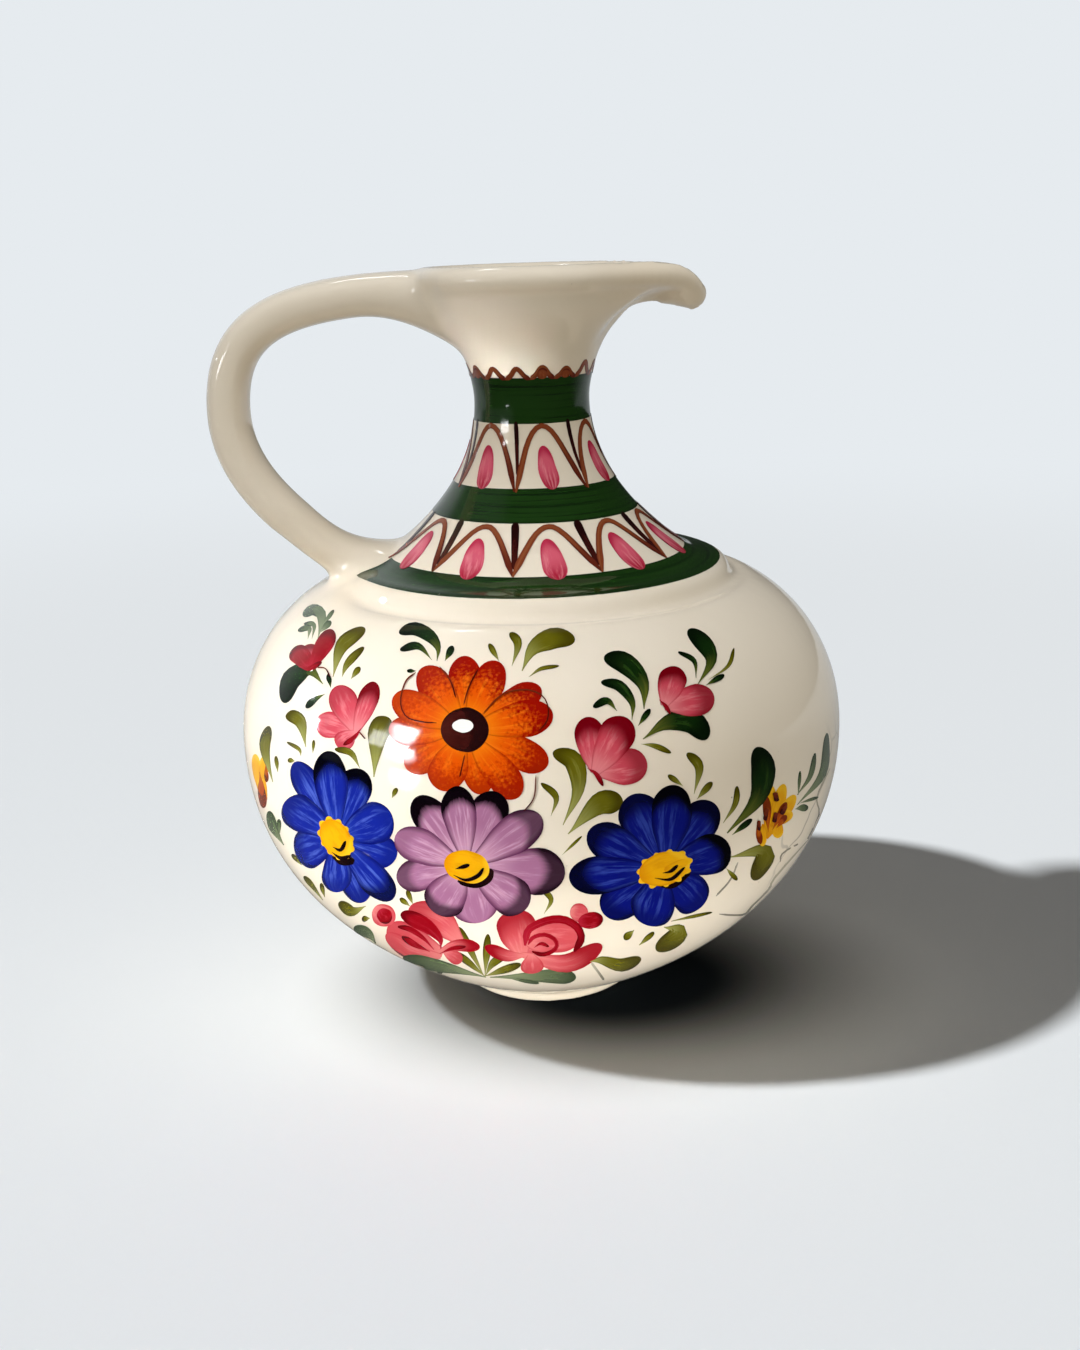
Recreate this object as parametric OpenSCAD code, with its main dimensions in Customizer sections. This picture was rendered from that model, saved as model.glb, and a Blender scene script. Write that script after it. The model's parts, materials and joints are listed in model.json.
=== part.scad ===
// Hand-built ceramic jug: a globe of two luted bowls on a foot ring, a waisted neck with a
// ledge of clay round its foot, a flared mouth with a pulled beak, and a strap handle.
// Millimetres. The origin is on the table under the centre of the foot, +Z is up,
// the beak points along +X and the handle along -X.
// Heights above the globe's widest line are counted from that line.

/* [Globe] */
// Outer radius at the widest line
belly_r = 84.5; // [76:0.5:92]
// Height of the widest line above the table
belly_z = 77.5; // [70:0.5:86]
// Thickness of the thrown wall
wall = 5; // [4:0.25:6]
// How far the wall rises steeply above the widest line before it turns in
shoulder_rise = 29.6; // [26:0.5:34]
// Height of the shoulder seat above the widest line
shoulder_h = 44; // [40:0.5:47]
// Width of the flat seat that the shoulder leaves outside the neck's foot
shoulder_seat = 6; // [4:0.5:9]
// How far the shoulder runs on nearly flat before its seat
shoulder_run = 9.9; // [6:0.1:13]
// Slope of the shoulder at its seat, in degrees
shoulder_slope = 5.5; // [2:0.5:12]
// How far the wall falls steeply below the widest line
base_fall = 42.7; // [38:0.5:48]
// How far the flat under the globe reaches out past the foot ring
base_margin = 0.5; // [0:0.25:3]
// How far the underside runs out straight from that flat
base_run = 24.5; // [18:0.5:32]
// Slope of the underside at that flat, in degrees
base_slope = 27.5; // [22:0.5:32]

/* [Foot ring] */
// Height of the foot ring
foot_h = 4; // [3:0.25:6]
// Outer radius of the foot ring where it meets the globe
foot_r = 27; // [23:0.5:30]
// How far the foot ring draws in towards the table
foot_draft = 0.8; // [0:0.1:2]
// Width of the foot ring
foot_w = 6; // [4.5:0.25:8]
// Radius of the worn outer edge on the table
foot_edge = 1; // [0.5:0.1:1.5]

/* [Neck] */
// Outer radius of the neck where it sits on the shoulder
neck_foot_r = 46.5; // [42:0.5:50]
// Width of the seat under the neck's foot, out from the hole in the shoulder
neck_seat = 5; // [4:0.25:8]
// Height of the upright edge at the neck's foot
neck_foot_h = 2.7; // [2:0.1:4]
// Slope of the neck just above its foot, in degrees
neck_slope = 38; // [30:0.5:44]
// How far the neck runs on at that slope
neck_run = 4.2; // [3:0.2:8]
// Outer radius of the throat, the narrowest place
throat_r = 15.6; // [13:0.1:19]
// Height of the throat
throat_h = 91.5; // [84:0.5:98]
// Length of the nearly straight stretch under the throat
throat_run = 26.5; // [22:0.5:30]
// Height of the seam where the mouth sits on the neck, above the throat
seam_rise = 6.5; // [6:0.5:11]
// How far the wall has flared at that seam
seam_out = 1.1; // [0.8:0.1:2.5]
// Thickness of the neck and of the mouth at the seam
neck_wall = 4.5; // [3.5:0.25:5.5]

/* [Ledge round the neck's foot] */
// Height of the ledge above the shoulder seat
ledge_h = 3.8; // [3:0.1:5]
// Radius of the ledge's rounded edge
ledge_round = 9; // [7.5:0.25:10]

/* [Mouth] */
// Height of the top of the rim above that seam
mouth_h = 28.6; // [25:0.5:34]
// Radius from the axis to the middle of the lip
rim_r = 27.2; // [25:0.5:30]
// Radius of the rounded lip
lip_r = 3.6; // [3:0.1:4.2]
// Angle at which the wall runs into the lip, up from level, in degrees
lip_tilt = 58; // [50:1:66]
// How far the wall runs straight up from the seam
mouth_rise = 10.5; // [8:0.1:13]
// Outward run of the wall at the seam, for each millimetre up
seam_flare = 0.24; // [0.1:0.01:0.3]
// How far the wall runs straight into the lip
lip_run = 17.5; // [14:0.5:19]
// Radius from the axis to the middle of the lip at the beak's tip
beak_reach = 44.4; // [40:0.5:52]
// How far the beak's tip droops below the rim
beak_droop = 6.4; // [3:0.2:10]
// Angle at which the beak's floor runs into its tip, in degrees
beak_tilt = -20; // [-30:1:0]
// Half width of the beak, as an angle round the axis
beak_spread = 24; // [18:1:30]
// Half width of the drooping tip, as an angle round the axis
droop_spread = 9.4; // [7:0.2:14]

/* [Handle] */
// Reach of the handle's middle line from the axis
handle_reach = 82.6; // [80:0.2:90]
// Height of the handle's farthest point
handle_mid_h = 89.5; // [84:0.5:96]
// Depth of the handle's middle line below the top of the rim
handle_top_drop = 6.5; // [5:0.1:8]
// Rise of the handle's top run as it leaves the mouth
handle_bow = 1.5; // [0:0.1:3]
// How far short of its farthest point the top run begins to bend
top_bend = 20; // [15:0.5:25]
// Length of the bend above the farthest point
upper_bend = 27; // [22:0.5:30]
// Length of the bend below the farthest point
lower_bend = 20; // [15:0.5:24]
// How far outside the shoulder's edge the lower run passes
landing_out = 11.5; // [9:0.5:14]
// How far above the shoulder's seat the lower run passes there
landing_up = 12.5; // [10:0.5:15]
// Thickness of the strap
strap_t = 11.2; // [9:0.2:14]
// Width of the strap
strap_w = 18; // [14:0.5:24]
// Squareness of the strap's section, 2 for an oval
strap_square = 2.5; // [2:0.1:4]
// Extra depth where the strap grows out of the mouth
upper_root = 15; // [8:0.5:18]
// Extra depth where the strap is pressed on to the shoulder
lower_root = 9; // [4:0.5:12]
// Extra width at both roots
root_w = 8; // [3:0.5:12]

/* [Hidden] */
$fn = 96;
// Straight steps in one curve of a turned wall, in the short curve above the throat, and in
// the foot's worn edge
curve_steps = 30;
throat_steps = 4;
edge_steps = 3;
// Steps round the mouth, along its wall and over its lip
mouth_sides = 72;
mouth_steps = 12;
lip_steps = 8;
// Steps along each half of the handle, and points round the strap
handle_steps = 20;
strap_points = 24;
// Share of the handle's upper and lower half that its roots take up
root_share = 0.27;
// How far the handle's line starts inside the throat's wall, and ends inside the shoulder
root_start = 4;
root_end = 2.5;
// Room for a cut to pass the surface it cuts
past = 30;
glaze = [0.93, 0.90, 0.82];
bare_clay = [0.80, 0.66, 0.52];

// Radii and heights that follow from the sizes above
base_r = foot_r + base_margin;
opening_r = neck_foot_r - neck_seat;
shoulder_r = neck_foot_r + shoulder_seat;
seam_h = throat_h + seam_rise;
seam_r = throat_r + seam_out;
rim_h = seam_h + mouth_h;

// Shares along a curve, from 0 to 1
function steps(n) = [for (i = [0 : n]) i / n];

// Point at share t of the cubic curve through p[0] and p[3], pulled by p[1] and p[2]
function curve_point(p, t) =
    pow(1 - t, 3) * p[0] + 3 * t * pow(1 - t, 2) * p[1]
    + 3 * t * t * (1 - t) * p[2] + pow(t, 3) * p[3];

function curve_slope(p, t) =
    3 * pow(1 - t, 2) * (p[1] - p[0]) + 6 * t * (1 - t) * (p[2] - p[1])
    + 3 * t * t * (p[3] - p[2]);

function curve(p, n) = [for (t = steps(n)) curve_point(p, t)];

function toward(angle) = [cos(angle), sin(angle)];

function reversed(list) = [for (i = [len(list) - 1 : -1 : 0]) list[i]];

// Wall of the lower bowl, from the flat under it to the widest line, in from the outside by skin
function lower_wall(skin) = curve([
    [base_r, foot_h + skin],
    [base_r, foot_h + skin] + (base_run - skin) * toward(base_slope),
    [belly_r - skin, belly_z - base_fall],
    [belly_r - skin, belly_z]], curve_steps);

// Wall of the upper bowl, from the widest line to the shoulder
function upper_wall(skin) = curve([
    [belly_r - skin, 0],
    [belly_r - skin, shoulder_rise],
    [shoulder_r, shoulder_h - skin] + shoulder_run * toward(-shoulder_slope),
    [shoulder_r, shoulder_h - skin]], curve_steps);

// Wall of the neck, from the given foot up to the throat and on to the seam
function neck_side(foot, skin) = let (pull = (seam_h - throat_h) / 3) concat(
    curve([
        foot,
        foot + neck_run * toward(180 - neck_slope),
        [throat_r - skin, throat_h - throat_run],
        [throat_r - skin, throat_h]], curve_steps),
    curve([
        [throat_r - skin, throat_h],
        [throat_r - skin, throat_h + pull],
        [seam_r - skin - seam_flare * pull, seam_h - pull],
        [seam_r - skin, seam_h]], throat_steps));

neck_outer = neck_side([neck_foot_r, shoulder_h + neck_foot_h], 0);
neck_inner = neck_side([opening_r, shoulder_h], neck_wall);

// How much of the beak shows at an angle round the axis, 1 at its tip and 0 far from it
function bump(angle, spread) = let (a = abs(angle) > 180 ? abs(angle) - 360 : angle)
    exp(-pow(a / spread, 2));

function lip_middle(angle) = [
    rim_r + (beak_reach - rim_r) * bump(angle, beak_spread),
    rim_h - lip_r - beak_droop * bump(angle, droop_spread)];

function wall_tilt(angle) = lip_tilt + (beak_tilt - lip_tilt) * bump(angle, beak_spread);

// Section of the mouth at an angle round the axis: up the outside, over the lip, down the inside
function mouth_outside(angle) = let (
    tilt = wall_tilt(angle),
    end = lip_middle(angle) + lip_r * toward(tilt - 90))
    curve([
        [seam_r, seam_h],
        [seam_r + seam_flare * mouth_rise, seam_h + mouth_rise],
        end - lip_run * toward(tilt),
        end], mouth_steps);

function mouth_lip(angle) = [for (i = [1 : lip_steps - 1])
    lip_middle(angle) + lip_r * toward(wall_tilt(angle) - 90 + 180 * i / lip_steps)];

function mouth_inside(angle) = let (
    tilt = wall_tilt(angle),
    start = lip_middle(angle) + lip_r * toward(tilt + 90),
    bore_r = seam_r - neck_wall)
    curve([
        start,
        start - lip_run * toward(tilt),
        [bore_r + seam_flare * mouth_rise, seam_h + mouth_rise],
        [bore_r, seam_h]], mouth_steps);

function mouth_section(angle) =
    concat(mouth_outside(angle), mouth_lip(angle), mouth_inside(angle));

// The handle's middle line: out from inside the mouth, round, and down into the shoulder
handle_top = rim_h - handle_top_drop;
upper_line = [
    [root_start - throat_r, handle_top],
    [top_bend - handle_reach, handle_top + handle_bow],
    [-handle_reach, handle_mid_h + upper_bend],
    [-handle_reach, handle_mid_h]];
lower_line = [
    [-handle_reach, handle_mid_h],
    [-handle_reach, handle_mid_h - lower_bend],
    [-shoulder_r - landing_out, shoulder_h + landing_up],
    [-opening_r - root_end, shoulder_h - root_end]];

// How far a root has swollen, from 0 on the plain strap to 1 at its end
function swelling(t) = t < root_share ? pow(1 - t / root_share, 2) : 0;

// One ring of the strap: its middle, its way along, and its extra depth and width
function strap_ring(middle, way, depth, width) = let (
    out = [way[1], -way[0]] / norm(way),
    core = middle - out * depth / 2,
    half_t = (strap_t + depth) / 2,
    half_w = (strap_w + width) / 2,
    power = 2 / strap_square)
    [for (i = [0 : strap_points - 1]) let (
        c = cos(360 * i / strap_points),
        s = sin(360 * i / strap_points),
        rim = core + out * half_t * sign(c) * pow(abs(c), power))
        [rim[0], half_w * sign(s) * pow(abs(s), power), rim[1]]];

strap_rings = concat(
    [for (t = steps(handle_steps)) strap_ring(curve_point(upper_line, t),
        curve_slope(upper_line, t), upper_root * swelling(t), root_w * swelling(t))],
    [for (i = [1 : handle_steps]) let (t = i / handle_steps) strap_ring(
        curve_point(lower_line, t), curve_slope(lower_line, t),
        lower_root * swelling(1 - t), root_w * swelling(1 - t))]);

// Lift what is drawn from the widest line to its height above the table
module above_belly() {
    translate([0, 0, belly_z]) children();
}

// Skin of quads over rings of points, each quad as two triangles, closed round each ring
function skin_faces(rings, points, wrap) = [
    for (i = [0 : rings - (wrap ? 1 : 2)], j = [0 : points - 1]) let (
        k = (i + 1) % rings,
        m = (j + 1) % points)
        each [[i * points + j, k * points + j, k * points + m],
              [i * points + j, k * points + m, i * points + m]]];

module upper_bowl_section() {
    polygon(concat(
        upper_wall(0),
        [[opening_r, shoulder_h], [opening_r, shoulder_h - wall]],
        reversed(upper_wall(wall))));
}

module neck_section() {
    polygon(concat([[neck_foot_r, shoulder_h]], neck_outer, reversed(neck_inner)));
}

module ledge_section() {
    translate([neck_foot_r, shoulder_h + ledge_h - ledge_round]) circle(ledge_round);
}

// All that lies inside the outer skin above the widest line, open above the rim
module inside_of_skin() {
    polygon(concat(
        [[0, 0]],
        upper_wall(0),
        [[neck_foot_r, shoulder_h]],
        neck_outer,
        mouth_outside(180),
        [for (p = mouth_lip(180)) if (p[0] > rim_r) p],
        [[rim_r, rim_h], [rim_r, rim_h + past], [0, rim_h + past]]));
}

module foot_ring() {
    edge_middle = [foot_r - foot_draft - foot_edge, foot_edge];
    color(bare_clay) rotate_extrude() {
        polygon(concat(
            [[foot_r - foot_w, 0]],
            [for (t = steps(edge_steps)) edge_middle + foot_edge * toward(90 * t - 90)],
            [[foot_r, foot_h], [foot_r - foot_w, foot_h]]));
    }
}

module lower_bowl() {
    color(glaze) rotate_extrude() {
        polygon(concat(
            [[0, foot_h]],
            lower_wall(0),
            reversed(lower_wall(wall)),
            [[0, foot_h + wall]]));
    }
}

module upper_bowl() {
    color(glaze) above_belly() rotate_extrude() upper_bowl_section();
}

module neck_ledge() {
    color(glaze) above_belly() rotate_extrude() difference() {
        ledge_section();
        inside_of_skin();
    }
}

module neck() {
    color(glaze) above_belly() rotate_extrude() neck_section();
}

module mouth() {
    sections = [for (i = [0 : mouth_sides - 1]) let (a = 360 * i / mouth_sides)
        [for (p = mouth_section(a)) [p[0] * cos(a), p[0] * sin(a), p[1]]]];
    count = len(sections[0]);
    color(glaze) above_belly()
        polyhedron([for (s = sections) each s], skin_faces(mouth_sides, count, true));
}

module handle() {
    count = len(strap_rings);
    ends = [
        [for (j = [0 : strap_points - 1]) j],
        [for (j = [strap_points - 1 : -1 : 0]) (count - 1) * strap_points + j]];
    color(glaze) above_belly() difference() {
        polyhedron([for (r = strap_rings) each r],
            concat(skin_faces(count, strap_points, false), ends));
        rotate_extrude() {
            inside_of_skin();
            ledge_section();
        }
    }
}

foot_ring();
lower_bowl();
upper_bowl();
neck_ledge();
neck();
mouth();
handle();
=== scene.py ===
# %% [markdown]
# # A hand-painted ceramic jug
# The jug is a round belly on a low foot, a waisted neck with a ledge round its foot, a flared
# mouth with a drooping beak, and a looped strap handle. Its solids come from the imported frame.
# This lesson gives them one soft, glazed skin, and then paints the bands, arches and flowers
# on it, stroke by stroke, as a painter with a round brush would.

# %% Load the frame
import json
import math

import bpy
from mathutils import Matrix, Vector, noise

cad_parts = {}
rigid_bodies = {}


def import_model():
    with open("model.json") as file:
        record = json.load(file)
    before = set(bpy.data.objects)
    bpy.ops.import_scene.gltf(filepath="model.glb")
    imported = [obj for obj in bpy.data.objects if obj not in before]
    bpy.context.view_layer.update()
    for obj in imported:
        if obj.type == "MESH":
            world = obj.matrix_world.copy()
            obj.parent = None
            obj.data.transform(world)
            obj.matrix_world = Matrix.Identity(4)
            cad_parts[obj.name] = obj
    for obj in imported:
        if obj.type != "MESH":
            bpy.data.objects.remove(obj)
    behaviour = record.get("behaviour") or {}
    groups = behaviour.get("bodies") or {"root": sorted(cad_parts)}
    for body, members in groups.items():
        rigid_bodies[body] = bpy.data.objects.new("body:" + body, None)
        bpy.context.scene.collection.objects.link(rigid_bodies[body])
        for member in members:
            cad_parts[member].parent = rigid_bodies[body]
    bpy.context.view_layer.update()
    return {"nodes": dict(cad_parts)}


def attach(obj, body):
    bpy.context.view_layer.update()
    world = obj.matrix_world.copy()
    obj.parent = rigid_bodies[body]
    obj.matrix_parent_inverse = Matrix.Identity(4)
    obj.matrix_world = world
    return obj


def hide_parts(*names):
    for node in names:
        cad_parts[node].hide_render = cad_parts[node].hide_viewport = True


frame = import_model()
MM = 0.001
print("solids:", sorted(frame["nodes"]))

# %% [markdown]
# ## Camera
# The camera comes first, because the painting is laid out through its lens. A photograph of a
# straight jug gives the camera away: the widest line, the ledge and the foot are circles, and
# how round they look tells how far away and how high the camera stood. It was also held a
# little askew, which is the roll.

# %% Camera
PHOTO_WIDTH = 1080
PHOTO_HEIGHT = 1350
FOCAL_PIXELS = 1537.4
SENSOR = 36.0
AIM = Vector((0, 0, 90.28 * MM))
DISTANCE = 440 * MM
LOOK_DOWN = math.radians(15.9)
PHOTO_ROLL = math.radians(1.7)

bpy.ops.object.select_all(action="DESELECT")
back_off = Vector((0, -math.cos(LOOK_DOWN), math.sin(LOOK_DOWN))) * DISTANCE
bpy.ops.object.camera_add(location=AIM + back_off, rotation=(math.pi / 2 - LOOK_DOWN, 0, 0))
camera = bpy.context.object
camera.name = "photo_camera"
camera.rotation_euler.rotate_axis("Z", -PHOTO_ROLL)
camera.data.sensor_fit = "VERTICAL"
camera.data.sensor_height = SENSOR
camera.data.lens = FOCAL_PIXELS / PHOTO_HEIGHT * SENSOR
camera.data.clip_start = 0.01
bpy.context.scene.camera = camera
bpy.context.view_layer.update()
EYE = camera.matrix_world.translation.copy()
LENS_TURN = camera.matrix_world.to_3x3()


def through_lens(across, down):
    """Direction from the camera through a point of the photograph, in photo pixels."""
    ray = Vector((across - PHOTO_WIDTH / 2, PHOTO_HEIGHT / 2 - down, -FOCAL_PIXELS))
    return (LENS_TURN @ ray).normalized()


print("camera", round(camera.data.lens, 2), "mm at", [round(c, 4) for c in EYE])

# %% [markdown]
# ## Tools for the clay
# A few helpers keep the later cells short: one makes an object the only selected one, one adds
# a modifier and applies it, one copies a solid without its ties, one joins objects, and one
# opens a mesh for editing.


# %% Tools for the clay
def make_active(obj):
    bpy.ops.object.select_all(action="DESELECT")
    obj.select_set(True)
    bpy.context.view_layer.objects.active = obj


def modify(obj, kind, **settings):
    """Add one modifier with these settings and apply it."""
    make_active(obj)
    bpy.ops.object.modifier_add(type=kind)
    modifier = obj.modifiers[-1]
    for key, value in settings.items():
        setattr(modifier, key, value)
    bpy.ops.object.modifier_apply(modifier=modifier.name)


def copy_of(obj, name):
    """A free copy with a mesh of its own."""
    copy = obj.copy()
    copy.data = obj.data.copy()
    for key in list(copy.keys()):
        del copy[key]
    copy.parent = None
    copy.name = name
    bpy.context.scene.collection.objects.link(copy)
    return copy


def join(objects, name):
    make_active(objects[0])
    for obj in objects:
        obj.select_set(True)
    bpy.ops.object.join()
    joined = bpy.context.object
    joined.name = name
    return joined


def edit_all(obj):
    make_active(obj)
    bpy.ops.object.mode_set(mode="EDIT")
    bpy.ops.mesh.select_mode(type="VERT")
    bpy.ops.mesh.select_all(action="SELECT")


# %% [markdown]
# ## Turned pieces
# The foot, both bowls, the ledge and the neck were turned on a wheel. Their solids are made of
# many flat faces, which a gloss would show. So each one is cut through its middle, half of the
# cut is kept as a profile, and the profile is spun again in fine steps.

# %% Turned pieces
TURNED = ("foot_ring", "lower_bowl", "upper_bowl", "neck_ledge", "neck")
SPIN_STEPS = 240
SAME_PLACE = 0.002 * MM
TURN = 2 * math.pi


def weld():
    """Merge the vertices in edit mode that share a place."""
    bpy.ops.mesh.select_all(action="SELECT")
    bpy.ops.mesh.remove_doubles(threshold=SAME_PLACE)


def turn_finely(node):
    """Cut a solid through its middle, keep one side of the cut and spin it."""
    piece = copy_of(frame["nodes"][node], node + "_turned")
    edit_all(piece)
    weld()
    for normal, cut_only in (((0, 1, 0), True), ((1, 0, 0), False)):
        bpy.ops.mesh.select_all(action="SELECT")
        bpy.ops.mesh.bisect(
            plane_co=(0, 0, 0), plane_no=normal, clear_inner=True, clear_outer=cut_only
        )
    weld()
    bpy.ops.mesh.select_all(action="SELECT")
    bpy.ops.mesh.spin(steps=SPIN_STEPS, angle=TURN, center=(0, 0, 0), axis=(0, 0, 1))
    weld()
    bpy.ops.mesh.normals_make_consistent(inside=False)
    bpy.ops.object.mode_set(mode="OBJECT")
    return piece


def merged_copy(node):
    piece = copy_of(frame["nodes"][node], node + "_clay")
    edit_all(piece)
    weld()
    bpy.ops.object.mode_set(mode="OBJECT")
    return piece


body = join([turn_finely(node) for node in TURNED] + [merged_copy("mouth")], "body")
print("body:", len(body.data.polygons), "faces")

# %% [markdown]
# ## One skin
# The real jug is luted together with slip and then glazed, so no joint shows: the handle flows
# into the mouth and the shoulder. A voxel remesh of all the pieces together makes that one
# skin, and a Smooth modifier softens it. The corners where slip and glaze gather are smoothed
# longer, through a vertex group.

# %% One skin
VOXEL = 1.2 * MM
SKIN_SMOOTHING = 8
CORNER_SMOOTHING = 44


def near(value, low, high, soft):
    """1 between low and high, falling to 0 over the soft width outside them."""
    return max(0.0, min(1.0, (value - low) / soft + 1, (high - value) / soft + 1))


def corner_softness(co):
    """How much a place on the skin is a corner that slip fills."""
    radius = math.hypot(co.x, co.y)
    soft = 3 * MM
    neck_foot = near(radius, 43 * MM, 47 * MM, soft) * near(co.z, 122 * MM, 129 * MM, soft)
    beside = near(co.y, -17 * MM, 17 * MM, soft)
    landing = near(co.x, -70 * MM, -42 * MM, soft) * near(co.z, 112 * MM, 138 * MM, soft)
    root = near(co.x, -46 * MM, -18 * MM, soft) * near(co.z, 173 * MM, 199 * MM, soft)
    return max(0.6 * neck_foot, landing * beside, root * beside)


def weigh(name, weight):
    """A vertex group from a function of each vertex."""
    group = skin.vertex_groups.new(name=name)
    for vertex in skin.data.vertices:
        share = weight(vertex)
        if share > 0.01:
            group.add([vertex.index], share, "REPLACE")
    return name


skin = join([copy_of(body, "skin"), merged_copy("handle")], "skin")
skin.data.materials.clear()
modify(skin, "REMESH", mode="VOXEL", voxel_size=VOXEL)
modify(skin, "SMOOTH", factor=0.5, iterations=SKIN_SMOOTHING)
corners = weigh("corners", lambda vertex: corner_softness(vertex.co))
modify(skin, "SMOOTH", factor=0.5, iterations=CORNER_SMOOTHING, vertex_group=corners)
print("skin:", len(skin.data.vertices), "vertices")

# %% [markdown]
# The potter's tool left two soft grooves: one under the rolled lip, and one where the ledge
# lies on the globe. Each is a vertex group that fades away from its line, and a Displace
# modifier that presses the group in. The roll above each groove is raised in the same way.

# %% Tooled grooves
LEDGE_GROOVE, LEDGE_ROLL = 55.8 * MM, 51.8 * MM
LIP_GROOVE, LIP_ROLL = 7.6 * MM, 3.4 * MM
RIM_STEPS = 90


def bell(distance, width):
    return math.exp(-((distance / width) ** 2))


def round_step(co):
    return int((math.atan2(co.y, co.x) / TURN + 0.5) * RIM_STEPS) % RIM_STEPS


rim_height = [0.0] * RIM_STEPS
for vertex in skin.data.vertices:
    step = round_step(vertex.co)
    if vertex.co.z > rim_height[step] and vertex.co.x > -28 * MM:
        rim_height[step] = vertex.co.z
rim_top = max(rim_height)
rim_height = [height if height > 0.9 * rim_top else rim_top for height in rim_height]


def at_ledge(vertex, radius, width):
    co = vertex.co
    behind_handle = near(co.x, -44 * MM, 1.0, 8 * MM)
    level = near(co.z, 117 * MM, 127 * MM, 2 * MM)
    return bell(math.hypot(co.x, co.y) - radius, width) * level * behind_handle


def at_lip(vertex, drop, width):
    co = vertex.co
    outward = co.x * vertex.normal.x + co.y * vertex.normal.y
    if outward <= 0 or co.z < 0.88 * rim_top:
        return 0.0
    clear_of_handle = near(co.x, -12 * MM, 34 * MM, 20 * MM)
    return bell(rim_height[round_step(co)] - co.z - drop, width) * clear_of_handle


for depth, group in (
    (-1.5, weigh("ledge_groove", lambda vertex: at_ledge(vertex, LEDGE_GROOVE, 2.3 * MM))),
    (0.8, weigh("ledge_roll", lambda vertex: at_ledge(vertex, LEDGE_ROLL, 2.4 * MM))),
    (-1.1, weigh("lip_groove", lambda vertex: at_lip(vertex, LIP_GROOVE, 2.1 * MM))),
    (0.6, weigh("lip_roll", lambda vertex: at_lip(vertex, LIP_ROLL, 2.6 * MM))),
):
    modify(skin, "DISPLACE", strength=depth * MM, mid_level=0, vertex_group=group)
modify(skin, "SMOOTH", factor=0.5, iterations=3)
skin.vertex_groups.clear()
make_active(skin)
bpy.ops.object.shade_smooth()
print("skin:", len(skin.data.polygons), "faces")

# %% [markdown]
# ## Tools for cutting
# The skin has to come apart into the pieces that the potter joined. A bisect could cut it, but
# filling a cut through a thin wall goes wrong easily. A boolean with the Manifold solver always
# leaves a closed piece. It also leaves slivers along the cut, and these are dissolved.

# %% Tools for cutting
SLIVER = 0.002 * MM


def block(radius, low, high):
    """A round block between two levels."""
    middle = (low + high) / 2
    bpy.ops.mesh.primitive_cylinder_add(
        vertices=SPIN_STEPS, radius=radius, depth=high - low, location=(0, 0, middle)
    )
    return bpy.context.object


def cut_with(piece, cutter, operation):
    modify(piece, "BOOLEAN", object=cutter, operation=operation, solver="MANIFOLD")


def dissolve_slivers(piece):
    """Dissolve edges too short to see, and corners where only two edges meet."""
    edit_all(piece)
    bpy.ops.mesh.dissolve_degenerate(threshold=SLIVER)
    bpy.ops.mesh.select_all(action="DESELECT")
    bpy.ops.object.mode_set(mode="OBJECT")
    edges_at = [0] * len(piece.data.vertices)
    for edge in piece.data.edges:
        for index in edge.vertices:
            edges_at[index] += 1
    for vertex, count in zip(piece.data.vertices, edges_at):
        vertex.select = count == 2
    bpy.ops.object.mode_set(mode="EDIT")
    bpy.ops.mesh.dissolve_verts()
    bpy.ops.object.mode_set(mode="OBJECT")


def shade_like_skin(piece):
    make_active(piece)
    bpy.ops.object.shade_smooth()
    modify(
        piece,
        "DATA_TRANSFER",
        object=skin,
        use_loop_data=True,
        data_types_loops={"CUSTOM_NORMAL"},
        loop_mapping="POLYINTERP_NEAREST",
    )


def remove(obj):
    bpy.data.objects.remove(obj)


def biggest_part(obj, name):
    """Keep the biggest loose part of a cut."""
    edit_all(obj)
    bpy.ops.mesh.separate(type="LOOSE")
    bpy.ops.object.mode_set(mode="OBJECT")
    parts = sorted(bpy.context.selected_objects, key=lambda o: len(o.data.polygons))
    for crumb in parts[:-1]:
        remove(crumb)
    parts[-1].name = name
    return parts[-1]


# %% [markdown]
# ## Back into pieces
# The handle comes off along a shell just outside the body, the ledge along the neck's foot, and
# the rest with blocks at level seams. Each piece then takes its shading from the whole skin, so
# that the seams don't show under the glaze.

# %% Back into pieces
SHELL = 1.4 * MM
SEAMS = {
    "foot_ring": (-20 * MM, 4.0 * MM),
    "lower_bowl": (4.0 * MM, 77.5 * MM),
    "upper_bowl": (77.5 * MM, 121.5 * MM),
    "neck": (121.5 * MM, 175.5 * MM),
    "mouth": (175.5 * MM, 250 * MM),
}
NECK_FOOT = (46.5 * MM, 50 * MM, 250 * MM)
BLOCK_RADIUS = 150 * MM

modify(body, "REMESH", mode="VOXEL", voxel_size=VOXEL)
modify(body, "DISPLACE", strength=SHELL, mid_level=0)
handle = copy_of(skin, "jug_handle")
cut_with(handle, body, "DIFFERENCE")
handle = biggest_part(handle, "jug_handle")
core = copy_of(skin, "core")
cut_with(core, body, "INTERSECT")

clay = {"handle": handle}
for node, (low, high) in SEAMS.items():
    piece = copy_of(core, "jug_" + node)
    between = block(BLOCK_RADIUS, low, high)
    cut_with(piece, between, "INTERSECT")
    remove(between)
    clay[node] = piece
neck_foot = block(*NECK_FOOT)
clay["neck_ledge"] = copy_of(clay["neck"], "jug_neck_ledge")
cut_with(clay["neck_ledge"], neck_foot, "DIFFERENCE")
cut_with(clay["neck"], neck_foot, "INTERSECT")
for spare in (neck_foot, body, core):
    remove(spare)
for node, piece in clay.items():
    dissolve_slivers(piece)
    shade_like_skin(piece)
    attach(piece, "root")
    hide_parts(node)
    print(piece.name, len(piece.data.polygons), "faces")

# %% [markdown]
# ## Tools for materials
# A material is a tree of nodes. Adding each node and link by hand makes long code, so a small
# class adds a node, feeds its inputs and gives back the output that the next node needs.


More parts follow.
